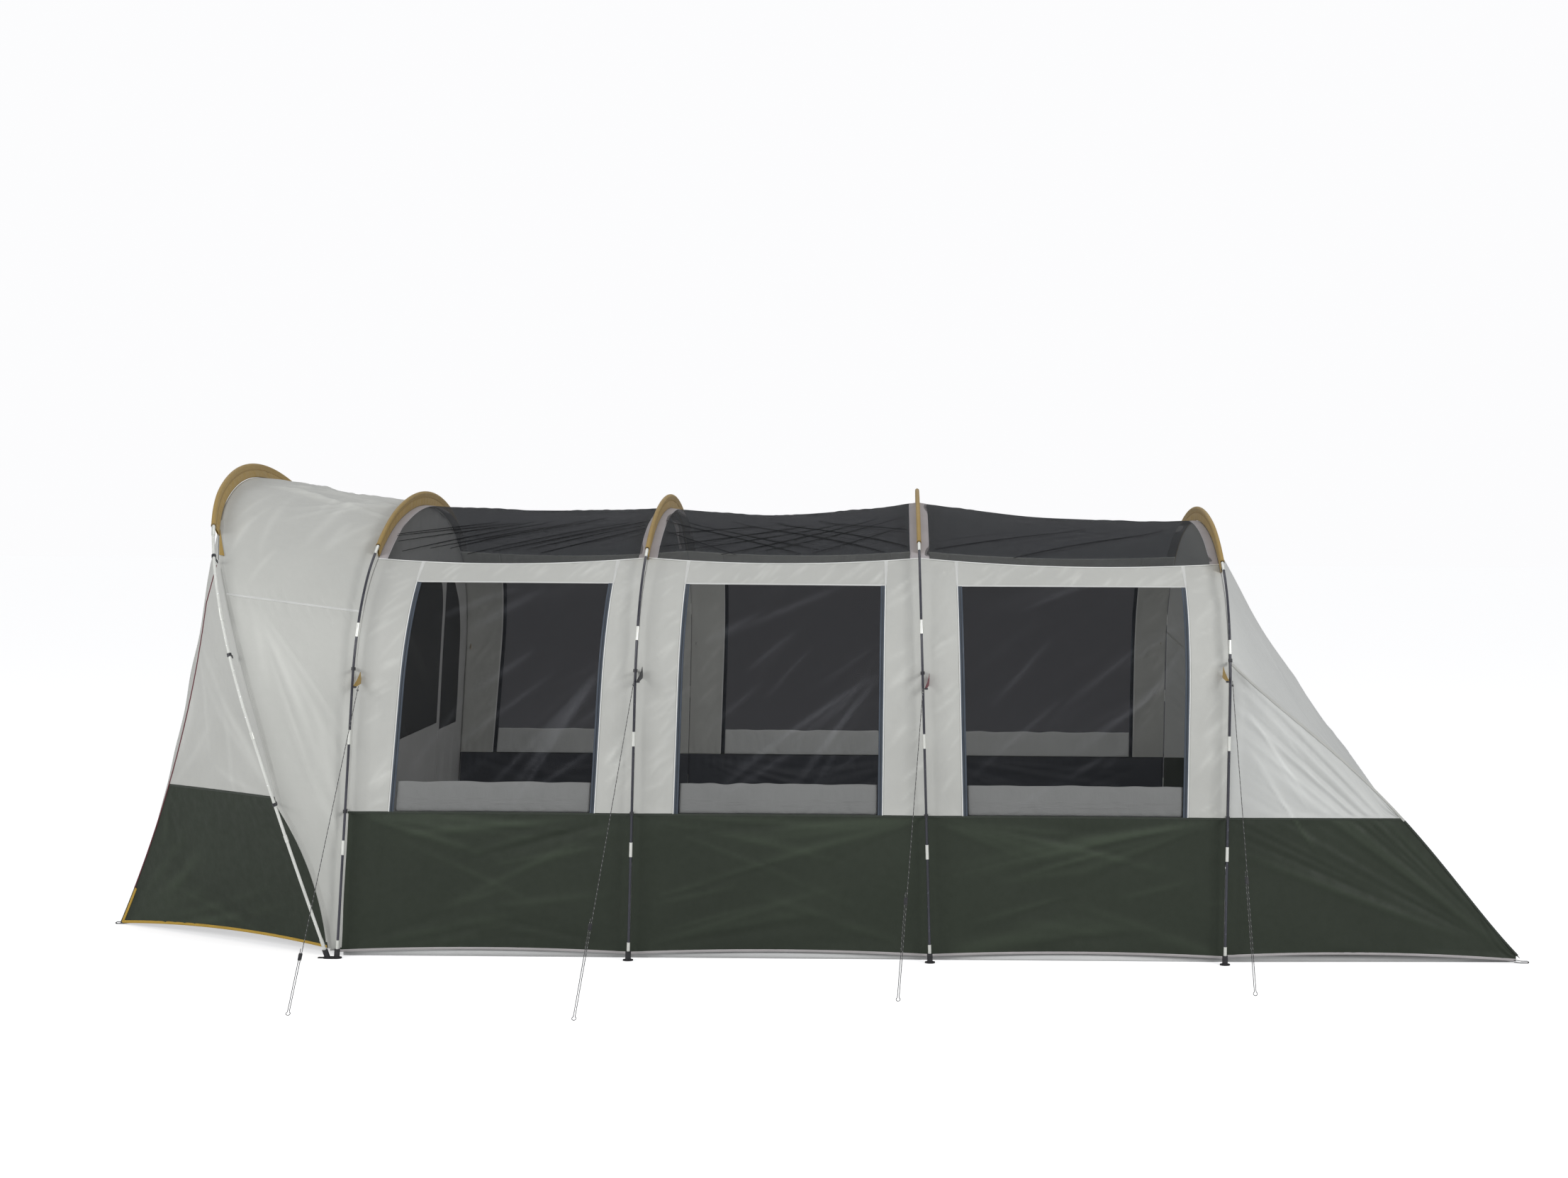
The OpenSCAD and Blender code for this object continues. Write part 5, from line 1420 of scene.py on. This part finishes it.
def cut_up(node, name, material, step, shape):
    """A copy of a flat CAD sheet, cut into a fine grid along Y and the other long way, and moved by shape."""
    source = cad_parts[node].data
    work = bmesh.new()
    work.from_mesh(source)
    bmesh.ops.remove_doubles(work, verts=work.verts[:], dist=1e-5)
    low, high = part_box(node)
    spans = sorted(range(3), key=lambda axis: high[axis] - low[axis])[1:]
    for axis in spans:
        direction = Vector([1.0 if k == axis else 0.0 for k in range(3)])
        for k in range(1, int((high[axis] - low[axis]) / step) + 1):
            at = Vector(low) + direction * (k * step)
            bmesh.ops.bisect_plane(work, geom=work.verts[:] + work.edges[:] + work.faces[:], plane_co=at,
                                   plane_no=direction, dist=1e-6)
    points = np.array([v.co for v in work.verts])
    moved = shape(points)
    for vertex, place in zip(work.verts, moved):
        vertex.co = place
    mesh = bpy.data.meshes.new(name)
    work.to_mesh(mesh)
    work.free()
    while mesh.uv_layers:
        mesh.uv_layers.remove(mesh.uv_layers[0])
    mesh.materials.clear()
    piece = finish_mesh(mesh, points[:, spans], material, np.zeros(len(points)))
    sharp_edges(mesh, 50)
    return piece


def hanging(amount, slack_z=0.8):
    """Cloth that hangs in folds: it waves towards the front and the rear, most near its foot."""
    rng = np.random.default_rng(81)
    waves = [(rng.uniform(0.10, 0.42), rng.uniform(0, 6.3), rng.uniform(0.3, 1)) for _ in range(7)]

    def shape(points):
        y, z = points[:, 1], points[:, 2]
        loose = 0.35 + 0.65 * np.clip((slack_z - z) / slack_z, 0, 1)
        frame_edge = ease((1.33 - np.abs(y)) / 0.15) * ease((z - 0.02) / 0.05) * (0.12 + 0.88 * ease(
            np.abs(np.abs(y) - 0.65) / 0.15))
        wave = sum(k * np.sin(2 * math.pi * (y + 0.10 * np.sin(3 * z)) / size + p) for size, p, k in waves)
        moved = points.copy()
        moved[:, 0] += amount * loose * frame_edge * wave * 0.4
        return moved

    return shape


def inner_pieces():
    wave = hanging(0.010)
    stretch = hanging(0.002)
    for node, name, material, slot, body, shape in (
            ("inner_wall", "inner_wall_cloth", "inner", "inner_cloth", "tent", wave),
            ("inner_wall_mesh", "inner_wall_net", "inner_mesh", "inner_mesh", "tent", stretch),
            ("inner_door", "inner_door_cloth", "inner", "inner_cloth", "inner_door", stretch),
            ("inner_door_mesh", "inner_door_net", "inner_mesh", "inner_mesh", "inner_door", stretch)):
        piece = cut_up(node, name, material, 0.03, shape)
        settle(piece, slot, body, [node])
        low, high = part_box(node)
        area = sum(face.area for face in piece.data.polygons) / 2
        declare_sheet(piece, high.y - low.y, high.z - low.z, area, held="hung", rests_on=["hoop_2"])


def floor_shape(points):
    """Shallow waves in the middle of the groundsheet."""
    x, y = points[:, 0], points[:, 1]
    moved = points.copy()
    wave = np.sin(5.1 * x + 1.3) * np.sin(4.3 * y + 0.4) + 0.5 * np.sin(11 * x + 7 * y)
    inside = ease((1.30 - np.abs(y)) / 0.2) * ease((2.9 - x) / 0.3) * ease((x + 1.9) / 0.2)
    moved[:, 2] += 0.0035 * inside * (1 + wave) * 0.6
    return moved


inner_pieces()
groundsheet = cut_up("groundsheet", "groundsheet_cloth", "floor_cloth", 0.06, floor_shape)
settle(groundsheet, "floor_cloth", stands_for=["groundsheet"])

# ---------------------------------------------------------------- webbing loops and guy tabs

CORNER_X = 3.140
CORNER_L = 0.040
TAB_SIDE = (1, 1, 1, -1)
TAB_CLOTH = ("gold", "dark_tape", "red", "gold")


def barrel(group, centre, length, radius):
    """A small toggle with rounded ends, lying along X."""
    turn = np.linspace(-math.pi / 2, math.pi / 2, 13)
    path = centre + stack(length / 2 * np.sin(turn), 0, 0)
    straight = centre + stack(length / 2 * np.linspace(-1, 1, 13), 0, 0)
    points, faces, uvs = tube(straight, radius, 14)
    points = np.array(points).reshape(13, 14, 3)
    narrow = np.cos(turn)[:, None, None] ** 0.35
    points = path[:, None] + (points - points.mean(1, keepdims=True)) * np.maximum(narrow, 0.05)
    group.add(points.reshape(-1, 3), faces, uvs)


def loops_and_tabs():
    loops = Group()
    for end, half_w in ((-1, FRONT_HALF_W), (1, REAR_HALF_W)):
        for side in SIDES.values():
            turn = np.linspace(0, math.pi, 15)
            tip = CORNER_L - 0.006
            run = np.concatenate([[-0.03, -0.015, 0, 0.012, 0.024], tip - 0.005 + 0.005 * np.sin(turn),
                                  [0.024, 0.012, 0, -0.015, -0.03]])
            rise = np.concatenate([[0.004, 0.002, 0, 0, 0], 0.0032 - 0.0032 * np.cos(turn),
                                   [0.0064, 0.0064, 0.0066, 0.0095, 0.012]])
            path = stack(end * (CORNER_X + run), side * half_w, 0.0020 + rise)
            out = np.concatenate([[(0, 0, -1)] * 5, stack(end * np.sin(turn), 0, -np.cos(turn)),
                                  [(0, 0, 1)] * 5])
            loops.strip(path, out, 0.018, 0.0012)
    loops.piece("corner_loops", "dark_tape", "webbing", stands_for=["webbing"])
    for side_name, side in SIDES.items():
        toggles = Group()
        for number, (top, tab_side, cloth) in enumerate(zip(GUY_TOP, TAB_SIDE, TAB_CLOTH), 2):
            foot_x, lean, _ = HOOPS[number - 1]
            x = foot_x + math.tan(lean) * top[2] + tab_side * 0.014
            wall_y = float(flat_rib(number - 1, 90)[0]) - 0.001
            start = np.array((x + tab_side * 0.013, side * wall_y, top[2] + 0.034))
            end = np.array((x - tab_side * 0.004, side * 1.4135, top[2] - 0.002))
            share = np.linspace(0, 1, 14)[:, None]
            path = mix(start, end, share)
            path[:, 0] += tab_side * 0.003 * hump(share[:, 0])
            tab = Group()
            for face in (-1, 1):
                tab.strip(path, (face, 0, 0), 0.058, 0.0011, taper=np.linspace(1.0, 0.24, 14))
            tab.piece(f"guy_tab_{side_name}_{number}", cloth, "gold_cloth" if cloth == "gold" else "webbing",
                      stands_for=["webbing"])
            barrel(toggles, np.array((x, side * 1.4150, top[2] - 0.004)), 0.016, 0.0040)
        toggles.piece(f"guy_toggles_{side_name}", "clip", "clip_plastic")


loops_and_tabs()

# ---------------------------------------------------------------- CAD nodes that stay

kept_nodes = {"hoop_1": "canopy_pole", "shock_cords": "slider", "pole_ferrules": "ferrule",
              "hoop_feet": "foot", "front_feet": "foot", "pole_clips": "clip",
              "front_zip_slider": "zip_metal", "inner_zip_slider": "zip_metal"}
for k in (2, 3, 4, 5):
    kept_nodes[f"hoop_{k}"] = "bay_pole"
    for side_name in SIDES:
        kept_nodes[f"slider_{side_name}_{k}"] = "slider"
for node, material in kept_nodes.items():
    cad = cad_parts[node]
    cad.data.materials.clear()
    cad.data.materials.append(M[material])
    if node in ("hoop_feet", "front_feet", "pole_clips"):
        bevel = cad.modifiers.new("softened", "BEVEL")
        bevel.width = 0.0006
        bevel.segments = 2
        bevel.limit_method = "ANGLE"

# ---------------------------------------------------------------- floor and light


def seen(tree):
    """(1 for a camera ray, 1 for a camera ray that has come through mesh)."""
    path = tree.nodes.new("ShaderNodeLightPath")
    through = tree.nodes.new("ShaderNodeMath")
    through.operation = "GREATER_THAN"
    tree.links.new(path.outputs["Transparent Depth"], through.inputs[0])
    through.inputs[1].default_value = 0.5
    both = tree.nodes.new("ShaderNodeMath")
    both.operation = "MULTIPLY"
    tree.links.new(through.outputs[0], both.inputs[0])
    tree.links.new(path.outputs["Is Camera Ray"], both.inputs[1])
    return path.outputs["Is Camera Ray"], both.outputs[0]


def choose(tree, fac, a, b):
    """Colour a, or b where fac is 1."""
    blend = tree.nodes.new("ShaderNodeMix")
    blend.data_type = "RGBA"
    tree.links.new(fac, blend.inputs[0])
    for socket, value in ((blend.inputs[6], a), (blend.inputs[7], b)):
        if isinstance(value, bpy.types.NodeSocket):
            tree.links.new(value, socket)
        else:
            socket.default_value = (*value, 1)
    return blend.outputs[2]


bpy.ops.mesh.primitive_plane_add(size=160, location=(0, 0, -0.0005))
ground = bpy.context.object
ground.name = "studio_floor"
# The floor is matt and pale with a little light of its own, and dim where it is seen through the mesh
matt = bpy.data.materials.new("studio_floor")
matt.use_nodes = True
shader = matt.node_tree.nodes["Principled BSDF"]
shader.inputs["Roughness"].default_value = 0.9
shader.inputs["Specular IOR Level"].default_value = 0.1
camera_ray, through_mesh = seen(matt.node_tree)
floor_colour = choose(matt.node_tree, through_mesh, (0.86, 0.86, 0.86), (0.10, 0.10, 0.11))
place = matt.node_tree.nodes.new("ShaderNodeTexCoord")
away = matt.node_tree.nodes.new("ShaderNodeVectorMath")
away.operation = "LENGTH"
matt.node_tree.links.new(place.outputs["Object"], away.inputs[0])
spread = matt.node_tree.nodes.new("ShaderNodeMapRange")
spread.inputs["From Min"].default_value = 4.0
spread.inputs["From Max"].default_value = 16.0
matt.node_tree.links.new(away.outputs["Value"], spread.inputs["Value"])
pale = choose(matt.node_tree, spread.outputs[0], (0.57, 0.57, 0.575), (0.63, 0.63, 0.63))
glow = choose(matt.node_tree, camera_ray, (0, 0, 0), pale)
glow = choose(matt.node_tree, through_mesh, glow, (0.02, 0.02, 0.02))
matt.node_tree.links.new(floor_colour, shader.inputs["Base Color"])
matt.node_tree.links.new(glow, shader.inputs["Emission Color"])
shader.inputs["Emission Strength"].default_value = 1.0
ground.data.materials.append(matt)

world = bpy.data.worlds.new("studio")
bpy.context.scene.world = world
world.use_nodes = True
background = world.node_tree.nodes["Background"]
camera_ray, through_mesh = seen(world.node_tree)
sky = choose(world.node_tree, camera_ray, (0.40, 0.404, 0.416), (0.975, 0.975, 0.985))
sky = choose(world.node_tree, through_mesh, sky, (0.105, 0.11, 0.12))
world.node_tree.links.new(sky, background.inputs["Color"])
background.inputs["Strength"].default_value = 1.0


def softbox(name, place, aim, size, power):
    light = bpy.data.lights.new(name, "AREA")
    light.shape = "RECTANGLE"
    light.size, light.size_y = size
    light.energy = power
    lamp = bpy.data.objects.new(name, light)
    bpy.context.scene.collection.objects.link(lamp)
    lamp.location = place
    lamp.rotation_euler = (Vector(aim) - Vector(place)).to_track_quat("-Z", "Y").to_euler()


softbox("key", (7.5, -8.0, 6.0), (0.6, 0, 0.8), (4, 3), 500)
softbox("fill", (-8.0, -8.0, 4.5), (-2, 0, 0.9), (5, 3), 430)
softbox("top", (0, 1.5, 8.0), (0, 0, 0), (9, 5), 100)
softbox("inside", (0.2, -0.85, 1.30), (0.2, 1.4, 1.1), (3.4, 0.7), 12)
bpy.data.objects["inside"].visible_camera = False

bpy.context.scene.view_settings.view_transform = "Standard"
